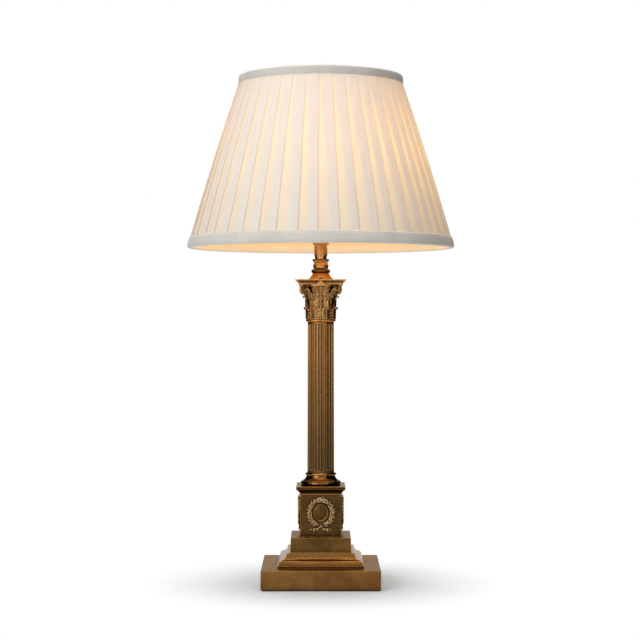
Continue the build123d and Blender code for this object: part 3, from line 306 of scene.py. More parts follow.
# %% Give the part its finishes
SLOTS = {
    "antique_brass": brass,
    "bright_brass": gilt,
    "plated_steel": steel,
    "black_steel": blacked,
    "nickel": nickel,
    "black_moulding": black,
    "white_moulding": white,
    "white_wire": wire,
    "felt": felt,
}
for part in frame["record"]["subparts"]:
    chosen = SLOTS.get(part["material_slot"])
    if chosen is None:
        continue
    data = nodes[part["node"]].data
    data.materials.clear()
    data.materials.append(chosen)
FINISHES = {
    "base_slab": slab_brass,
    "ogee_plinth": roll,
    "upper_block": block,
    "wreath_die": olive,
    "pedestal_cap": browned,
    "column_base": turned,
    # painted light: the neck and collar take the brass painted as lit by the bulb
    "neck_tube": bulb_lit,
    "vase_collar": bulb_lit,
    "rim_washer": browned,
    "astragal_ring": gilt,
}
for name, chosen in FINISHES.items():
    nodes[name].data.materials.clear()
    nodes[name].data.materials.append(chosen)
print("slots painted:", sorted(SLOTS))

# %% [markdown]
# The capital takes the most skill. Its bell is hidden under three tiers of acanthus leaves
# whose tips curl over, a volute winds in at each corner, and small scrolls meet under a
# palmette in the middle of each side. Every leaf is the same function with other sizes: a
# spine that hugs the bell and then curls, lobed edges, and ribs that run out to the lobes.


# %% Helpers for carved forms
class Heap:
    """Points and faces gathered from many small forms into one mesh."""

    def __init__(self):
        self.points = []
        self.faces = []

    def grid(self, rows):
        """Faces between rows of points, where each row closes on itself."""
        first = len(self.points)
        across = len(rows[0])
        for row in rows:
            self.points.extend(row)
        for k in range(len(rows) - 1):
            for j in range(across):
                following = (j + 1) % across
                a = first + k * across
                self.faces.append((a + j, a + following, a + across + following, a + across + j))

    def ball(self, centre, axes, steps=8):
        """An ellipsoid: its centre and three half axes as vectors."""
        rows = []
        for k in range(steps + 1):
            tilt = math.pi * k / steps
            ring = []
            for j in range(steps * 2):
                turn = math.pi * j / steps
                x, y, z = math.sin(tilt) * math.cos(turn), math.sin(tilt) * math.sin(turn), math.cos(tilt)
                ring.append(tuple(centre + axes[0] * x + axes[1] * y + axes[2] * z))
            rows.append(ring)
        self.grid(rows)

    def tube(self, path, radii):
        """A round strand along a path of vectors, one radius for each point."""
        sides = 8
        rows = []
        for k, centre in enumerate(path):
            along = (path[min(k + 1, len(path) - 1)] - path[max(k - 1, 0)]).normalized()
            side = along.cross(Vector((0, 0, 1)))
            if side.length < 0.2:
                side = along.cross(Vector((1, 0, 0)))
            side.normalize()
            up = side.cross(along)
            angles = [2 * math.pi * j / sides for j in range(sides)]
            rows.append([tuple(centre + radii[k] * (side * math.cos(a) + up * math.sin(a))) for a in angles])
        self.grid(rows)


def between(stops, share):
    """A value read from (share, value) stops, in straight steps."""
    for (low, a), (high, b) in zip(stops, stops[1:]):
        if share <= high:
            return a + (b - a) * (share - low) / (high - low)
    return stops[-1][1]


def bearing_axes(degrees):
    """Outward and sideways directions at a bearing round the column."""
    angle = math.radians(degrees)
    return Vector((math.cos(angle), math.sin(angle), 0)), Vector((-math.sin(angle), math.cos(angle), 0))


print("directions at 45 degrees:", bearing_axes(45))

# %% Acanthus leaves
CAPITAL_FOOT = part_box("capital")[0][2]
CAPITAL_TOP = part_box("capital")[1][2]
UP = Vector((0, 0, 1))
LEAF_SHAPE = ((0.0, 0.62), (0.2, 0.8), (0.45, 1.0), (0.66, 0.84), (0.82, 0.7), (0.93, 0.5), (1.0, 0.1))
# lean of the spine in degrees, by the distance still to go to the tip in millimetres
UPRIGHT_CURL = ((-99, 1), (-6, 3), (-3.4, 22), (-2.4, 75), (-1.2, 150), (0, 215))
CORNER_CURL = ((-99, 2), (-20, 4), (-12, 20), (-5, 38), (-3.2, 60), (-1.6, 135), (0, 215))
LOBES = 5
LEAF_THICKNESS = 0.0006
BELL_STRAIGHT = 0.019


def bell_radius(z):
    """Radius of the bell under the leaves: nearly straight, then flaring to its lip."""
    rise = z - CAPITAL_FOOT
    if rise < BELL_STRAIGHT:
        return 0.0152 + 0.0005 * rise / BELL_STRAIGHT
    return 0.0157 + 0.0058 * min(1.0, (rise - BELL_STRAIGHT) / 0.02) ** 2.2


def acanthus(heap, bearing, foot, length, half, out, curl=UPRIGHT_CURL):
    """One leaf of the capital, as a thin closed form that follows its curling spine."""
    outward, sideways = bearing_axes(bearing)
    steps, cells = 34, 16
    radius, z = bell_radius(foot) + out, foot
    rows = []
    before = 0.0
    for k in range(steps + 1):
        share = 1 - (1 - k / steps) ** 1.5
        stride = (share - before) * length
        before = share
        lean = math.radians(between(curl, 1000 * length * (share - 1)))
        radius += math.sin(lean) * stride
        z += math.cos(lean) * stride
        if lean < 0.2:
            radius = max(radius, bell_radius(z) + out)
        facing = outward * math.cos(lean) - UP * math.sin(lean)
        lobe = 0.5 + 0.5 * math.cos(2 * math.pi * (LOBES * share - 0.45))
        width = half * between(LEAF_SHAPE, share) * (0.74 + 0.26 * lobe)
        body_depth = LEAF_THICKNESS * (1.0 + 1.2 * share)
        front, back = [], []
        for j in range(cells + 1):
            u = 2 * j / cells - 1
            x = u * width
            wrapped = x * x / (2 * radius)
            rib = 0.0007 * math.exp(-((u / 0.13) ** 2)) * (1 - 0.5 * share)
            fold = 0.00032 * math.cos(2 * math.pi * (LOBES * share - 0.45 - 1.1 * abs(u)))
            swell = 0.0006 * (1 - u * u) + fold * min(1.0, 3 * abs(u)) * (1 - abs(u) ** 6)
            base = outward * radius + UP * z + sideways * x - facing * wrapped
            front.append(tuple(base + facing * (rib + swell)))
            back.append(tuple(base - facing * body_depth * (1.0 - 0.6 * u * u)))
        rows.append(front + back[::-1])
    heap.grid(rows)


print("bell radius at its lip:", round(bell_radius(CAPITAL_TOP), 4), "m")

# %% Three tiers of leaves
# each leaf: its bearing, the height of its foot, its length, half its width, and how far it
# stands off the bell
leaves = Heap()
for turn in range(8):
    acanthus(leaves, 22.5 + 45 * turn, CAPITAL_FOOT, 0.0165, 0.0059, out=0.0016)
    acanthus(leaves, 22.5 + 45 * turn, CAPITAL_FOOT + 0.0100, 0.0225, 0.0048, out=0.0004)
    if turn % 2:
        acanthus(leaves, 45 * turn, CAPITAL_FOOT, 0.0400, 0.0064, out=0.0008, curl=CORNER_CURL)
    else:
        acanthus(leaves, 45 * turn, CAPITAL_FOOT, 0.0300, 0.0063, out=0.0010)
        acanthus(leaves, 45 * turn, CAPITAL_FOOT + 0.0215, 0.0195, 0.0046, out=0.0010)
        for aside in (-17, 17):
            acanthus(leaves, 45 * turn + aside, CAPITAL_FOOT + 0.0120, 0.0255, 0.0040, out=0.0006)
            acanthus(leaves, 45 * turn + 1.55 * aside, CAPITAL_FOOT + 0.0140, 0.0245, 0.0036, out=0.0003)
print("leaf points:", len(leaves.points))

# %% [markdown]
# A volute is a strap with raised edges that winds into a flat coil. A bevelled curve would
# give it a round section, so its own section of eight points is carried along the spiral. The
# small scrolls are round strands, and a palmette is a fan of seven narrow petals.

# %% Volutes, small scrolls and palmettes
EYE_LEVEL = CAPITAL_TOP - 0.0124
EYE_REACH = 0.0276


def volute(heap, bearing):
    """A corner volute: a strap with raised edges that climbs from the bell and winds in."""
    outward, sideways = bearing_axes(bearing)
    stalk = [(0.0166, -0.0150), (0.0172, -0.0095), (0.0189, -0.0040), (0.0219, 0.0010), (0.0248, 0.0038)]
    path = [(r, EYE_LEVEL + rise) for r, rise in stalk]
    turns, count = 2.1, 60
    for k in range(count + 1):
        angle = math.pi / 2 - 2 * math.pi * turns * k / count
        winding = 0.0046 * (1 - 0.8 * k / count)
        path.append((EYE_REACH + winding * math.cos(angle), EYE_LEVEL + winding * math.sin(angle)))
    rows = []
    for k, (r, z) in enumerate(path):
        ahead, behind = path[min(k + 1, len(path) - 1)], path[max(k - 1, 0)]
        along = Vector((ahead[0] - behind[0], ahead[1] - behind[1])).normalized()
        share = k / len(path)
        thick = 0.0007 - 0.0003 * share
        wide = 0.0019 + 0.0009 * share
        normal = outward * -along.y + UP * along.x
        centre = outward * r + UP * z
        edge = [(-1, 1.3), (-0.72, 1.3), (-0.55, 0.3), (0.55, 0.3), (0.72, 1.3), (1, 1.3), (1, -1), (-1, -1)]
        rows.append([tuple(centre + sideways * a * wide + normal * b * thick) for a, b in edge])
    heap.grid(rows)
    middle = outward * EYE_REACH + UP * EYE_LEVEL
    heap.ball(middle, (outward * 0.0013, UP * 0.0013, sideways * 0.0033))


def small_scroll(heap, bearing, hand):
    """A thin scroll that climbs from between the leaves and winds in beside the middle."""
    outward, sideways = bearing_axes(bearing)
    eye = 0.0056 * hand
    points = [(0.0092, -0.0120), (0.0094, -0.0085), (0.0088, -0.0050), (0.0082, -0.0020)]
    path, radii = [], []
    for x, rise in points:
        z = EYE_LEVEL + rise
        path.append(outward * (bell_radius(z) + 0.0016) + sideways * x * hand + UP * z)
        radii.append(0.0008)
    turns, count = 1.5, 36
    for k in range(count + 1):
        angle = 2 * math.pi * turns * k / count
        winding = 0.0023 * (1 - 0.72 * k / count)
        x = eye + hand * winding * math.cos(angle)
        z = EYE_LEVEL + 0.0026 + winding * math.sin(angle)
        path.append(outward * (0.0206 + 0.0008 * k / count) + sideways * x + UP * z)
        radii.append(0.0008 - 0.0003 * k / count)
    heap.tube(path, radii)
    heap.ball(path[-1], (outward * 0.001, sideways * 0.0007, UP * 0.0007), 5)


def palmette(heap, bearing):
    """A fan of seven petals over the middle of one side."""
    outward, sideways = bearing_axes(bearing)
    root = outward * 0.0236 + UP * (CAPITAL_TOP - 0.0070)
    for petal in range(7):
        splay = math.radians(-78 + 26 * petal)
        along = sideways * math.sin(splay) + UP * math.cos(splay)
        across = sideways * math.cos(splay) - UP * math.sin(splay)
        length = 0.0068 * (1 - 0.3 * abs(math.sin(splay)))
        centre = root + along * length * 0.55 + outward * 0.0003
        heap.ball(centre, (along * length * 0.5, across * 0.00085, outward * 0.001), 6)
    heap.ball(root + outward * 0.0004, (sideways * 0.0014, UP * 0.001, outward * 0.0012), 6)


scrolls = Heap()
for side in range(4):
    volute(scrolls, 45 + 90 * side)
    palmette(scrolls, 90 * side)
    for hand in (-1, 1):
        small_scroll(scrolls, 90 * side, hand)
print("scroll points:", len(scrolls.points))

# %% [markdown]
# Under the leaves is a plain turned bell, and over them lies the abacus, a moulded slab with
# four hollowed sides. A boolean cut could hollow a square, but its plan is simple enough to
# draw: the same plan is repeated at each width and depth of the moulding.

# %% Bell and abacus
ROD_HOLE = 0.0053
ABACUS_DEPTH = 0.0058
# side of the plan and height from the top, in metres
ABACUS = (
    (0.0510, -0.0058), (0.0516, -0.0055), (0.0516, -0.0048), (0.0508, -0.0045), (0.0512, -0.0041),
    (0.0522, -0.0036), (0.0540, -0.0028), (0.0560, -0.0020), (0.0576, -0.0014), (0.0582, -0.0012),
    (0.0582, -0.0003), (0.0576, 0.0000),
)


def abacus_plan(side):
    """Plan of the abacus: four hollowed sides between narrow cut corners."""
    steps = 22
    half = side / 2
    horn = 0.0014
    hollow = 0.0056 * side / 0.0582
    plan = []
    for quarter in range(4):
        outward, sideways = bearing_axes(90 * quarter)
        for k in range(steps + 1):
            across = 2 * k / steps - 1
            reach = half - hollow * (1 - across * across)
            plan.append(outward * reach + sideways * across * (half - horn))
    return plan


body = Heap()
rows = []
for side, drop in ABACUS:
    rows.append([tuple(p + UP * (CAPITAL_TOP + drop)) for p in abacus_plan(side)])
plan = abacus_plan(0.0576)
hole_top, hole_foot = (
    [tuple(p.normalized() * ROD_HOLE + UP * (CAPITAL_TOP + drop)) for p in plan]
    for drop in (0.0, -ABACUS_DEPTH)
)
body.grid([hole_foot, *rows, hole_top])
BELL_HEIGHT = 0.0402
levels = [CAPITAL_FOOT + BELL_HEIGHT * k / 30 for k in range(31)]
profile = [(bell_radius(z), z) for z in levels]
profile = [(ROD_HOLE, CAPITAL_FOOT), *profile, (ROD_HOLE, levels[-1])]
around = [2 * math.pi * k / 96 for k in range(96)]
body.grid([[(r * math.cos(a), r * math.sin(a), z) for a in around] for r, z in profile])
print("bell and abacus points:", len(body.points))

# %% The whole capital
carved = Heap()
for heap in (body, leaves, scrolls):
    start = len(carved.points)
    carved.points.extend(heap.points)
    carved.faces.extend(tuple(start + index for index in face) for face in heap.faces)
capital = mesh_piece("capital_carving", carved.points, carved.faces, leafy)
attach(capital, "stand")
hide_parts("capital")
print("capital faces:", len(carved.faces))

# %% [markdown]
# The shaft has 24 round-ended flutes with narrow flats between them. They could be cut with
# 24 booleans. Here the depth of the groove is worked out at each point instead, close together
# at its edges, so that the flats stay sharp and the ends round.

# %% Fluted shaft
SHAFT_FOOT, SHAFT_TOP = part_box("fluted_shaft")[0][2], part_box("fluted_shaft")[1][2]
FOOT_RADIUS, HEAD_RADIUS = 0.01545, 0.0151
FLUTES = 24
FLUTE_RADIUS = 0.00148
FLUTE_SINK = 0.00022
FLUTE_FOOT, FLUTE_HEAD = 0.0020, 0.0024
END_LENGTH = 0.006
BORE_SHARE = 0.68
half_pitch = (0.0, 0.09, 0.18, 0.26, 0.31, 0.34, 0.356, 0.37, 0.39, 0.44)
across_pitch = [-t for t in half_pitch[:0:-1]] + list(half_pitch) + [0.5]


def groove_depth(x, z):
    """How deep the flute is at a place across it and up the shaft."""
    low, high = SHAFT_FOOT + FLUTE_FOOT + FLUTE_RADIUS, SHAFT_TOP - FLUTE_HEAD - FLUTE_RADIUS
    past_end = max(0.0, low - z, z - high)
    inside = FLUTE_RADIUS**2 - x * x - past_end * past_end
    return max(0.0, math.sqrt(inside) - FLUTE_SINK) if inside > 0 else 0.0


# points up the shaft lie close together at both ends, where the flutes are round
ends = [0.0005 * k for k in range(12)]
middle = [END_LENGTH + (SHAFT_TOP - SHAFT_FOOT - 2 * END_LENGTH) * k / 15 for k in range(16)]
climbs = ends + middle + [SHAFT_TOP - SHAFT_FOOT - rise for rise in ends[::-1]]
rows = []
for climb in climbs:
    share = climb / (SHAFT_TOP - SHAFT_FOOT)
    radius = FOOT_RADIUS + (HEAD_RADIUS - FOOT_RADIUS) * share
    pitch = 2 * math.pi * radius / FLUTES
    ring = []
    for flute in range(FLUTES):
        for t in across_pitch:
            angle = 2 * math.pi * (flute + 0.5 + t) / FLUTES
            reach = radius - groove_depth(t * pitch, SHAFT_FOOT + climb)
            ring.append((reach * math.cos(angle), reach * math.sin(angle), SHAFT_FOOT + climb))
    rows.append(ring)
round_shaft = Heap()
bore = [[(BORE_SHARE * x, BORE_SHARE * y, z) for x, y, z in row] for row in (rows[0], rows[-1])]
round_shaft.grid([bore[0], *rows, bore[1], bore[0]])
shaft = mesh_piece("shaft_with_flutes", round_shaft.points, round_shaft.faces, mid)
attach(shaft, "stand")
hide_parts("fluted_shaft")
print("shaft faces:", len(round_shaft.faces))

# %% [markdown]
# A laurel wreath is pinned to each side of the pedestal. Two branches climb from crossed
# stems, three leaves at each step, and a domed oval fills the middle. Each leaf is its own
# small form, turned a little by chance, so the wreath looks cast from a carved pattern.

# %% Sizes and places of the wreaths
DIE_HALF = (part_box("wreath_die")[1][0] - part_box("wreath_die")[0][0]) / 2
WREATH_LEVEL = 0.0834
WREATH_HALF_WIDTH = 0.0128
WREATH_HALF_HEIGHT = 0.0146
OVAL_HALF_WIDTH = 0.0084
OVAL_HALF_HEIGHT = 0.0100
BERRY_RADIUS = 0.0008
STEM_STEPS = 8


def on_die(bearing, x, y, out):
    """A point on the face of the pedestal: across, up from the wreath's centre, and out."""
    outward, sideways = bearing_axes(bearing)
    return tuple(outward * (DIE_HALF + out) + sideways * x + UP * (WREATH_LEVEL + y))


def stem_place(branch, k):
    """Where the crossed stem of one branch runs, at a step along it."""
    share = k / STEM_STEPS
    return branch * (0.0098 * share - 0.0012), -WREATH_HALF_HEIGHT - 0.0002 - 0.0042 * math.sin(1.9 * share)


print("pedestal side:", round(2 * DIE_HALF, 4), "m")


# %% Laurel leaves, stems and ovals
def laurel(heap, bearing, x, y, heading, length, half, lift):
    """A laurel leaf that lies on the wreath, with a grooved midrib and a raised tip."""
    along = (math.cos(heading), math.sin(heading))
    rows = []
    for k in range(9):
        share = k / 8
        width = half * math.sin(math.pi * (0.06 + 0.92 * share) ** 0.8)
        middle = lift + 0.0009 * math.sin(math.pi * share) + 0.0007 * share
        front, back = [], []
        for j in range(7):
            u = j / 3 - 1
            rise = 0.0006 * (1 - u * u) - 0.0004 * math.exp(-((u / 0.2) ** 2))
            px = x + along[0] * length * share - along[1] * width * u
            py = y + along[1] * length * share + along[0] * width * u
            front.append(on_die(bearing, px, py, middle + rise))
            back.append(on_die(bearing, px, py, max(0.0, middle - 0.0005)))
        rows.append(front + back[::-1])
    heap.grid(rows)


def branch_leaves(heap, bearing, branch, chance):
    """Three laurel leaves at each step of a branch, and a berry at every other one."""
    outward, sideways = bearing_axes(bearing)
    for step in range(11):
        climb = math.radians(-78 + 158 * step / 10)
        x = branch * WREATH_HALF_WIDTH * math.cos(climb)
        y = WREATH_HALF_HEIGHT * math.sin(climb)
        run_x, run_y = -branch * WREATH_HALF_WIDTH * math.sin(climb), WREATH_HALF_HEIGHT * math.cos(climb)
        heading = math.atan2(run_y, run_x)
        for splay, shift, lift in ((-0.62, 0.0008, 0.0003), (0.62, -0.0008, 0.0003), (0.0, 0.0, 0.0010)):
            turned_by = heading - branch * (splay + chance.uniform(-0.12, 0.12))
            px = x + shift * math.cos(climb) * branch
            py = y + shift * math.sin(climb)
            length = 0.0064 + chance.uniform(-0.0004, 0.0006)
            laurel(heap, bearing, px, py, turned_by, length, 0.0014, lift)
        if step % 2:
            berry = Vector(on_die(bearing, x * 1.12, y * 1.12, 0.0016))
            heap.ball(berry, (outward * BERRY_RADIUS, sideways * BERRY_RADIUS, UP * BERRY_RADIUS), 5)


def branch_stem(heap, bearing, branch):
    """The stem of a branch where it crosses the other under the wreath, with four leaves."""
    stem = []
    for k in range(STEM_STEPS + 1):
        stem.append(Vector(on_die(bearing, *stem_place(branch, k), 0.0007)))
    heap.tube(stem, [0.0009 - 0.0004 * k / STEM_STEPS for k in range(STEM_STEPS + 1)])
    for k, splay in ((3, -0.5), (5, 0.5), (6, -0.35), (8, 0.15)):
        heading = -0.35 + splay
        if branch < 0:
            heading = math.pi - heading
        laurel(heap, bearing, *stem_place(branch, k), heading, 0.0046, 0.0012, 0.0001)


def oval_disc(heap, bearing):
    """The domed oval in the middle of a wreath, with a raised rim."""
    rings = ((1.0, 0.0), (1.0, 0.0010), (0.96, 0.0014), (0.91, 0.0011), (0.87, 0.0005), (0.8, 0.0007))
    rings += ((0.65, 0.0013), (0.45, 0.0018), (0.22, 0.0021), (0.0, 0.0022))
    angles = [2 * math.pi * k / 48 for k in range(48)]
    rows = []
    for share, rise in rings:
        width, height = OVAL_HALF_WIDTH * share, OVAL_HALF_HEIGHT * share
        rows.append([on_die(bearing, width * math.cos(a), height * math.sin(a), rise) for a in angles])
    heap.grid(rows)


print("a stem starts at", [round(1000 * value, 1) for value in stem_place(1, 0)], "mm from the centre")

# %% Four wreaths
garland = Heap()
discs = Heap()
for side in range(4):
    chance = random.Random(40 + side)
    for branch in (-1, 1):
        branch_leaves(garland, 90 * side, branch, chance)
        branch_stem(garland, 90 * side, branch)
    oval_disc(discs, 90 * side)
ovals = mesh_piece("wreath_ovals", discs.points, discs.faces, olive)
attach(ovals, "stand")
wreaths = mesh_piece("laurel_wreaths", garland.points, garland.faces, champagne)
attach(wreaths, "stand")
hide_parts("wreath_mounts")
print("wreath faces:", len(garland.faces))

# %% [markdown]
# The shade is the lamp's largest piece. Its sides are nearly straight, bowed out a hair, and
# the cover is one long strip of cloth laid in 43 knife pleats. The strip is as long at the
# top as at the bottom, so the pleats lie deeper where the shade is narrow: that is why the
# single, glowing layer beside each fold is narrow at the top and wide at the bottom.

# %% Sizes of the shade
SHADE_FOOT = 0.3866
SHADE_HEIGHT = 0.2
FOLD_RADIUS_FOOT = 0.1544
FOLD_RADIUS_TOP = 0.0918
BOW = 0.0015
PLEATS = 43
FIRST_FOLD = -91.2
STRIP_LENGTH = 1.66
COVER_FOOT = 0.3922
COVER_TOP = 0.5763
# the first fold of the front is this many folds to the left of FIRST_FOLD
FOLDS_LEFT = 8
# how far the folds seen from the front stray from even spacing, in degrees, left to right
FOLD_STRAY = (-0.3, 1.0, -0.3, 0, 0, -0.4, -0.9, 0, 0, 0.5, 0.4, 1.1, -0.1, 0.15, -0.2, -1.4, -1.6, -0.8)


def fold_radius(z):
    share = (z - SHADE_FOOT) / SHADE_HEIGHT
    straight = FOLD_RADIUS_FOOT + (FOLD_RADIUS_TOP - FOLD_RADIUS_FOOT) * share
    return straight + 4 * BOW * share * (1 - share)


def fold_angle(index):
    """Bearing of a fold in degrees: the even place, and what it strays."""
    turn = index % PLEATS
    stray = random.Random(turn).uniform(-0.5, 0.5)
    front = (turn + FOLDS_LEFT) % PLEATS
    if front < len(FOLD_STRAY):
        stray = FOLD_STRAY[front]
    return FIRST_FOLD + 360 * index / PLEATS + stray


print("strip overlaps", round(STRIP_LENGTH / (2 * math.pi * fold_radius(COVER_TOP)), 2), "times at the top")

# %% [markdown]
# Cloth simulation suits cloth that hangs. These pleats are pressed and sewn, so the strip is
# laid out directly: over each pleat it runs from the last fold to the next, then turns back
# under itself in two bends before the next pleat starts.

# %% The pleated cover
ROWS = 36
# where the outer layer has points, from the start of a pleat at 0 to its fold at 1
OUTER = (0.0, 0.03, 0.08, 0.18, 0.3, 0.42, 0.54, 0.66, 0.78, 0.88, 0.95, 0.985, 1.0)


def cover_row(z):
    """Points round the shade at one level, each with its place in its pleat.

    The last number of each point is the place where the pleat starts to lie three deep.
    """
    radius = fold_radius(z)
    depth = 0.0082 * radius
    doubled = (3 - STRIP_LENGTH / (2 * math.pi * radius)) / 2
    row = []
    for index in range(PLEATS):
        start, end = fold_angle(index), fold_angle(index + 1)
        swell = 0.0006 * random.Random(index * 7 + 1).uniform(0.3, 1.0)
        places = [(u, radius - depth * (1 - u) + swell * math.sin(math.pi * u) * 0.5, u) for u in OUTER]
        places.append((0.998, radius - 0.2 * depth, 1.0))
        places.append((0.93, radius - 0.42 * depth, 1.0))
        for past, sink in ((0.02, 0.45), (0.0, 0.6), (0.02, 0.75)):
            places.append((doubled + past, radius - depth * (1 - doubled) - sink * depth, 1.0))
        places.append((0.93, radius - 0.85 * depth, 1.0))
        for u, r, place in places:
            angle = math.radians(start + (end - start) * u)
            row.append((r * math.cos(angle), r * math.sin(angle), z, place, doubled))
    return row


rows = [cover_row(COVER_FOOT + (COVER_TOP - COVER_FOOT) * k / (ROWS - 1)) for k in range(ROWS)]
strip = Heap()
strip.grid([[p[:3] for p in row] for row in rows])
print("cover points:", len(strip.points))

# %% [markdown]
# The cloth glows from the lamp behind it. Light could be sent through it, but that is slow and
# full of speckles, so the glow is an emission that falls off from a place beside the bulb, a
# little to the right, where the shade is brightest. One layer lets warm light through; where
# the pleat lies three deep, less comes through and the cloth's own white shows.

# %% Pleated cloth
HOT_SPOT = (0.030, -0.004, 0.490)
# the glow has this strength at this distance, in metres, and falls with its square
GLOW_REACH = 0.118
GLOW_STRENGTH = 0.32


def weave(s, place, size):
    """Height of the weave: fine ribs from a wave, and slubs from a noise."""
    slub = s.noise(place, 260, 3, 0.6)
    inputs = {"Vector": place, "Scale": size, "Distortion": 1.2}
    ribs = s.node("TexWave", inputs, wave_type="BANDS", bands_direction="Z").outputs["Fac"]
    return s.math("ADD", s.math("MULTIPLY", ribs, 0.4), slub)


s = Shader("pleated_cloth")
place = s.node("TexCoord").outputs["Object"]
u = s.node("Attribute", attribute_name="pleat").outputs["Fac"]
doubled = s.node("Attribute", attribute_name="doubled").outputs["Fac"]
away = s.node("VectorMath", {0: place, 1: HOT_SPOT}, operation="DISTANCE")
nearness = s.math("DIVIDE", GLOW_REACH, away.outputs["Value"])
layers = s.remap(s.math("SUBTRACT", u, doubled), -0.12, 0.06)
# painted shadow: a thin darker line just past each fold's edge, where the fold shades the cloth below it;
# less glow comes through there too, as the cloth lies more layers deep at the fold
fold_shadow_line = s.remap(u, 0.0, 0.06, 1.0, 0.0)
blotch = s.noise(place, 28, 3, 0.6)
# a noise stretched upwards makes streaks of painted light and shade in the glow, as from shallow ripples in
# the cloth
upright = s.node("VectorMath", {0: place, 1: (1, 1, 0.06)}, operation="MULTIPLY")
ripple_shade = s.noise(upright.outputs["Vector"], 150, 3, 0.6)
glow = s.math("MULTIPLY", s.math("MULTIPLY", nearness, nearness), GLOW_STRENGTH)
for share in (
    s.remap(layers, 0.0, 1.0, 1.4, 0.88),
    s.remap(fold_shadow_line, 0.0, 1.0, 1.0, 0.85),
    s.remap(blotch, 0.3, 0.7, 0.95, 1.05),
    s.remap(ripple_shade, 0.3, 0.7, 0.86, 1.14),
):
    glow = s.math("MULTIPLY", glow, share)
cloth = s.mix(layers, srgb(233, 224, 210), srgb(235, 231, 226))
pleated_cloth = s.principled({
    # the painted shadow line darkens the cloth beside each fold
    "Base Color": s.mix(s.math("MULTIPLY", fold_shadow_line, 0.25), cloth, srgb(206, 184, 158)),
    "Roughness": 0.85,
    "Specular IOR Level": 0.2,
    "Emission Color": s.mix(layers, srgb(255, 197, 102), srgb(255, 184, 88)),
    "Emission Strength": glow,
    "Normal": s.bump(weave(s, place, 420), 0.12, 0.0004),
})
print("glow is strongest near", HOT_SPOT)

# %% [markdown]
# The bindings are thicker bands of the same pale cloth, and the liner is smooth and stiff. The
# bulb lights the liner all over, and of the lower binding only the side that faces it, which
# the mesh marks with a number called lit.

# %% Binding and liner cloth
s = Shader("binding_cloth")
place = s.node("TexCoord").outputs["Object"]
cloud = s.noise(place, 45, 3, 0.6)
lit = s.node("Attribute", attribute_name="lit").outputs["Fac"]
binding_cloth = s.principled({
    "Base Color": s.mix(s.remap(cloud, 0.3, 0.7), srgb(224, 219, 211), srgb(212, 206, 198)),
    "Roughness": 0.8,
    # painted light: both bindings glow faintly all over, and the lower band's inner side, which faces the
    # bulb, glows more brightly
    "Emission Color": s.mix(lit, srgb(255, 226, 196), srgb(255, 204, 122)),
    "Emission Strength": s.remap(lit, 0.0, 1.0, 0.06, 0.31),
    "Normal": s.bump(weave(s, place, 520), 0.2, 0.0005),
})

s = Shader("liner_cloth")
cloud = s.noise(s.node("TexCoord").outputs["Object"], 14, 2, 0.5)
liner_cloth = s.principled({
    "Base Color": s.mix(s.remap(cloud, 0.3, 0.7), srgb(226, 206, 168), srgb(218, 196, 158)),
    "Roughness": 0.6,
    "Emission Color": (*srgb(255, 208, 132), 1),
    "Emission Strength": 0.3,
    "Normal": s.bump(cloud, 0.05, 0.0004),
})
print("materials:", len(bpy.data.materials))

# %% [markdown]
# The cover rides on the shade and takes the place of the part's own pleats. Its two numbers
# for each point, read by the cloth's material, go on as attributes.

# %% Put the cover in place
cover = mesh_piece("pleated_cover_cloth", strip.points, strip.faces, pleated_cloth)
for label, column in (("pleat", 3), ("doubled", 4)):
    layer = cover.data.attributes.new(label, "FLOAT", "POINT")
    layer.data.foreach_set("value", [p[column] for row in rows for p in row])
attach(cover, "shade")
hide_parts("pleated_cover")

# %% [markdown]
# The bindings are bands of plain cloth folded over the ring wires, and the liner is a stiff
# sheet rolled into a cone. All three are a profile turned round the axis. A screw modifier
# would do that too, but then they would be perfectly round, and sewn cloth never is.


# %% Cloth turned round the axis
def turned_cloth(name, profile, material, seed, around=180, wander=0.0003):
    """A band of cloth from a profile of (radius, height), a little uneven."""
    chance = random.Random(seed)
    phases = [(chance.randint(5, 23), chance.uniform(0, 6.28)) for _ in range(5)]
    made, links = [], []
    for k in range(around):
        angle = 2 * math.pi * k / around
        shift = sum(math.sin(n * angle + p) for n, p in phases) / 5 * wander
        for radius, z in profile:
            made.append(((radius + shift) * math.cos(angle), (radius + shift) * math.sin(angle), z))
    count = len(profile)
    for k in range(around):
        following = (k + 1) % around
        for j in range(count - 1):
            a, b = k * count + j, following * count + j
            links.append((a, b, b + 1, a + 1))
    return mesh_piece(name, made, links, material)


def arc(centre, radius_x, radius_z, start, end, steps):
    """Points of part of an ellipse in the profile plane, angles in degrees."""
    found = []
    for k in range(steps + 1):
        angle = math.radians(start + (end - start) * k / steps)
        found.append((centre[0] + radius_x * math.cos(angle), centre[1] + radius_z * math.sin(angle)))
    return found


print("an arc of four points:", arc((0, 0), 1, 1, 0, 90, 3))

# %% Bindings
band_top = SHADE_FOOT + 0.0134
band_bulge = SHADE_FOOT + 0.009
band_inside = SHADE_FOOT + 0.0098
WIRE_RADIUS, WIRE_RISE = 0.15125, 0.0034
LINER_SHARE = 0.988
band = [(fold_radius(band_top) - 0.0002, band_top - 0.0006), (fold_radius(band_top) + 0.0005, band_top)]
band += [(fold_radius(band_top) + 0.0012, band_top - 0.0008), (fold_radius(band_bulge) + 0.0012, band_bulge)]
band += arc((WIRE_RADIUS, SHADE_FOOT + WIRE_RISE), 0.0031, 0.0032, 20, -200, 14)
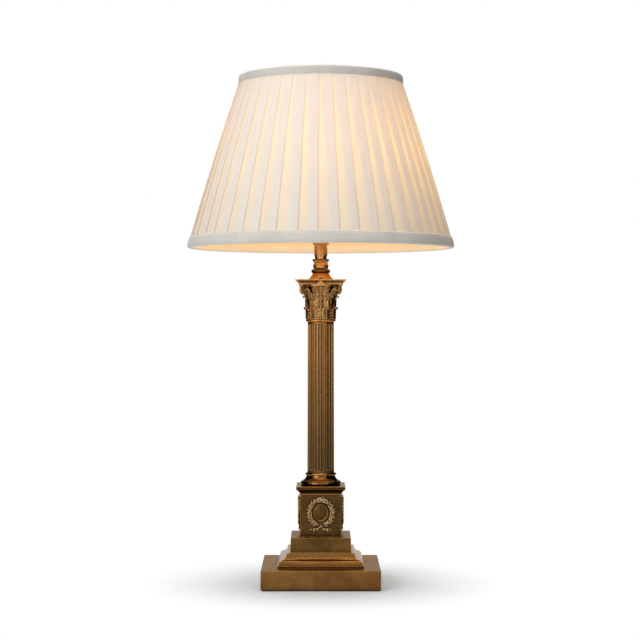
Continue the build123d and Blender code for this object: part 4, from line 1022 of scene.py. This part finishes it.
# from this point of the profile on, the band faces the bulb
INNER_SIDE = 13
band += [(0.1478, SHADE_FOOT + 0.0068), (fold_radius(band_inside) * LINER_SHARE - 0.0021, band_inside)]
lower_band = turned_cloth("bottom_binding_cloth", band, binding_cloth, seed=5)
top_z = SHADE_FOOT + SHADE_HEIGHT
cap = [(0.0951, top_z - 0.0104), (0.09545, top_z - 0.0100), (0.09525, top_z - 0.0062)]
cap += arc((0.09205, top_z - 0.0031), 0.0031, 0.0029, 0, 180, 12)
cap += [(0.0884, top_z - 0.0060), (0.0883, top_z - 0.0094)]
upper_band = turned_cloth("top_binding_cloth", cap, binding_cloth, seed=9, wander=0.0002)
layer = lower_band.data.attributes.new("lit", "FLOAT", "POINT")
lit_points = [float(index % len(band) >= INNER_SIDE) for index in range(len(lower_band.data.vertices))]
layer.data.foreach_set("value", lit_points)
print("points across the lower band:", len(band), "and the upper:", len(cap))

# %% Liner, and all three put on the shade in place of the part's own
LINER_FOOT, LINER_HEIGHT = 0.3924, 0.1892


def liner_radius(z):
    return fold_radius(z) * LINER_SHARE - 0.001


wall = [(liner_radius(z), z) for z in [LINER_FOOT + LINER_HEIGHT * k / 16 for k in range(17)]]
lining = turned_cloth("shade_lining_sheet", wall, liner_cloth, seed=12, around=160, wander=0.0002)
for piece, node in ((lower_band, "bottom_binding"), (upper_band, "top_binding"), (lining, "shade_liner")):
    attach(piece, "shade")
    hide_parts(node)
print("bindings and lining in place")

# %% [markdown]
# The lamp is lit. The glass is frosted, so it shows as a bright warm body, brighter towards
# its crown. Rays that look for light pass straight through it, so that a soft light inside
# can throw the glow on to the lining and the neck.

# %% Bulb
CROWN_FROM, CROWN_TO = 0.455, 0.50
BULB_MIDDLE = (0, 0, 0.5)
s = Shader("frosted_glass")
height = s.node("SeparateXYZ", {0: s.node("TexCoord").outputs["Object"]}).outputs["Z"]
glass = s.node("BsdfPrincipled", {
    "Base Color": (*srgb(255, 240, 214), 1),
    "Roughness": 0.55,
    "Emission Color": (*srgb(255, 214, 150), 1),
    "Emission Strength": s.remap(height, CROWN_FROM, CROWN_TO, 0.8, 5.0),
})
through = s.node("BsdfTransparent")
shadow_ray = s.node("LightPath").outputs["Is Shadow Ray"]
both = s.node("MixShader", {0: shadow_ray, 1: glass.outputs["BSDF"], 2: through.outputs["BSDF"]})
frosted = s.finish(both.outputs["Shader"])
clear = plain_metal("clear_glass", srgb(224, 230, 232), 0.1)
tungsten = plain_metal("tungsten", srgb(255, 196, 120), 0.3)
for name, material in (("glass_envelope", frosted), ("bulb_stem", clear), ("filament", tungsten)):
    nodes[name].data.materials.clear()
    nodes[name].data.materials.append(material)
lamp_data = bpy.data.lights.new("bulb_light", "POINT")
lamp_data.energy = 0.4
lamp_data.color = srgb(255, 206, 140)
lamp_data.shadow_soft_size = 0.028
lamp = bpy.data.objects.new("bulb_light", lamp_data)
lamp.location = BULB_MIDDLE
bpy.context.scene.collection.objects.link(lamp)
lamp.parent = frame["bodies"]["bulb_lift"]
print("bulb lit")

# %% [markdown]
# The camera is level with the middle of the lamp, two metres away. A wide lens nearer by would
# show the base from above and the shade from below at once; from here with a long lens the
# square base shows its front face and hardly any of its sides.

# %% Camera
camera_data = bpy.data.cameras.new("camera")
camera_data.sensor_width = 36
camera_data.lens = 97.7
EYE = (-0.0009, -2.012, 0.304)
camera = bpy.data.objects.new("camera", camera_data)
camera.location = EYE
camera.rotation_euler = (math.pi / 2, 0, 0)
bpy.context.scene.collection.objects.link(camera)
bpy.context.scene.camera = camera
print("camera:", tuple(camera.location), "lens", camera_data.lens)

# %% [markdown]
# The studio is a white floor in a white world. A floor bright enough to look white would
# throw too much light up at the brass. So the floor reflects like pale paper, and only for
# rays from the camera or from a mirroring surface does it turn plain white beyond the lamp's
# shadow.

# %% Floor
FLOOR_REACH = 30
SHADOW_INNER, SHADOW_OUTER = 0.09, 0.205
s = Shader("floor")
paper = s.node("BsdfDiffuse", {"Color": (0.85, 0.92, 0.99, 1)})
path = s.node("LightPath")
looked_at = s.math("MAXIMUM", path.outputs["Is Camera Ray"], path.outputs["Is Glossy Ray"])
looked_at = s.math("MAXIMUM", looked_at, path.outputs["Is Transmission Ray"])
lift = s.node("Emission", {"Strength": s.math("MULTIPLY", looked_at, 0.1)})
near_floor = s.node("AddShader", {0: paper.outputs["BSDF"], 1: lift.outputs["Emission"]})
distance = s.node("VectorMath", {0: s.node("TexCoord").outputs["Object"]}, operation="LENGTH")
whitening = s.remap(distance.outputs["Value"], SHADOW_INNER, SHADOW_OUTER)
blend = s.node("MixShader", {
    0: s.math("MULTIPLY", looked_at, whitening),
    1: near_floor.outputs["Shader"],
    2: s.node("Emission").outputs["Emission"],
})
floor_material = s.finish(blend.outputs["Shader"])
floor_corners = [(x * FLOOR_REACH, y * FLOOR_REACH, 0) for x, y in ((-1, -1), (1, -1), (1, 1), (-1, 1))]
floor = mesh_piece("floor", floor_corners, [(0, 1, 2, 3)], floor_material, smooth=False)
print("floor side:", 2 * FLOOR_REACH, "m")

# %% World
world = bpy.data.worlds.new("studio")
bpy.context.scene.world = world
s = Shader("studio", world)
sky = s.node("Background", {"Color": (1, 1, 1, 1), "Strength": 0.18})
seen = s.node("Background", {"Color": (1, 1, 1, 1), "Strength": 1.0})
path = s.node("LightPath")
mirrored = s.math("MAXIMUM", path.outputs["Is Glossy Ray"], path.outputs["Is Transmission Ray"])
pick = s.node("MixShader", {
    0: s.math("MAXIMUM", path.outputs["Is Camera Ray"], mirrored),
    1: sky.outputs["Background"],
    2: seen.outputs["Background"],
})
s.finish(pick.outputs["Shader"], "OutputWorld")
print("world lights at", sky.inputs["Strength"].default_value, "and is seen as white")

# %% [markdown]
# The key light is large and stands to the left of the camera, so the right side of everything
# falls into soft shade. Polished metal shows what stands round it more than what shines on
# it: three narrow strips draw thin bright lines down the shaft and along the mouldings, and
# two dark cards outside the picture give the metal its dark edges.


# %% Lights
def area_light(name, place, aim, width, height, power, colour=(1, 1, 1)):
    data = bpy.data.lights.new(name, "AREA")
    data.shape = "RECTANGLE"
    data.size = width
    data.size_y = height
    data.energy = power
    data.color = colour
    lamp = bpy.data.objects.new(name, data)
    lamp.location = place
    lamp.rotation_euler = (Vector(aim) - Vector(place)).to_track_quat("-Z", "Y").to_euler()
    bpy.context.scene.collection.objects.link(lamp)


# each light: where it stands and points, its width and height, its power in watts, its colour
area_light("key", (-1.5, -1.7, 1.3), (0, 0, 0.3), 0.9, 1.4, 15.5, (0.94, 0.98, 1.0))
area_light("left_strip", (-0.75, -1.5, 0.5), (0, 0, 0.25), 0.1, 0.9, 1.6)
area_light("right_strip", (0.8, -1.2, 0.45), (0, 0, 0.25), 0.05, 0.8, 0.5)
area_light("front_strip", (0.1, -1.1, 1.5), (0, 0, 0.1), 1.3, 0.12, 3.5)
area_light("top", (0.0, 0.2, 2.0), (0, 0, 0.3), 1.2, 1.2, 21)

# %% Cards
# the metal mirrors both cards, and the right one also shades the lamp's right side a little
s = Shader("dark_card")
card_material = s.finish(s.node("BsdfDiffuse", {"Color": (*srgb(46, 42, 38), 1)}).outputs["BSDF"])
CARD_HEIGHT = 1.4
# each card: its name, and where its near and far edges stand on the floor
CARDS = (
    ("right_card", (0.95, -1.0), (0.5, 2.4)),
    ("left_card", (-0.95, -0.3), (-0.5, 2.4)),
)
for name, start, end in CARDS:
    corners = [(*start, 0.0), (*end, 0.0), (*end, CARD_HEIGHT), (*start, CARD_HEIGHT)]
    card = mesh_piece(name, corners, [(0, 1, 2, 3)], card_material, smooth=False)
    card.visible_camera = False
    card.visible_diffuse = name == "right_card"
    card.visible_shadow = name == "right_card"
bpy.context.scene.view_settings.view_transform = "Standard"
print("cards:", [name for name, start, end in CARDS])
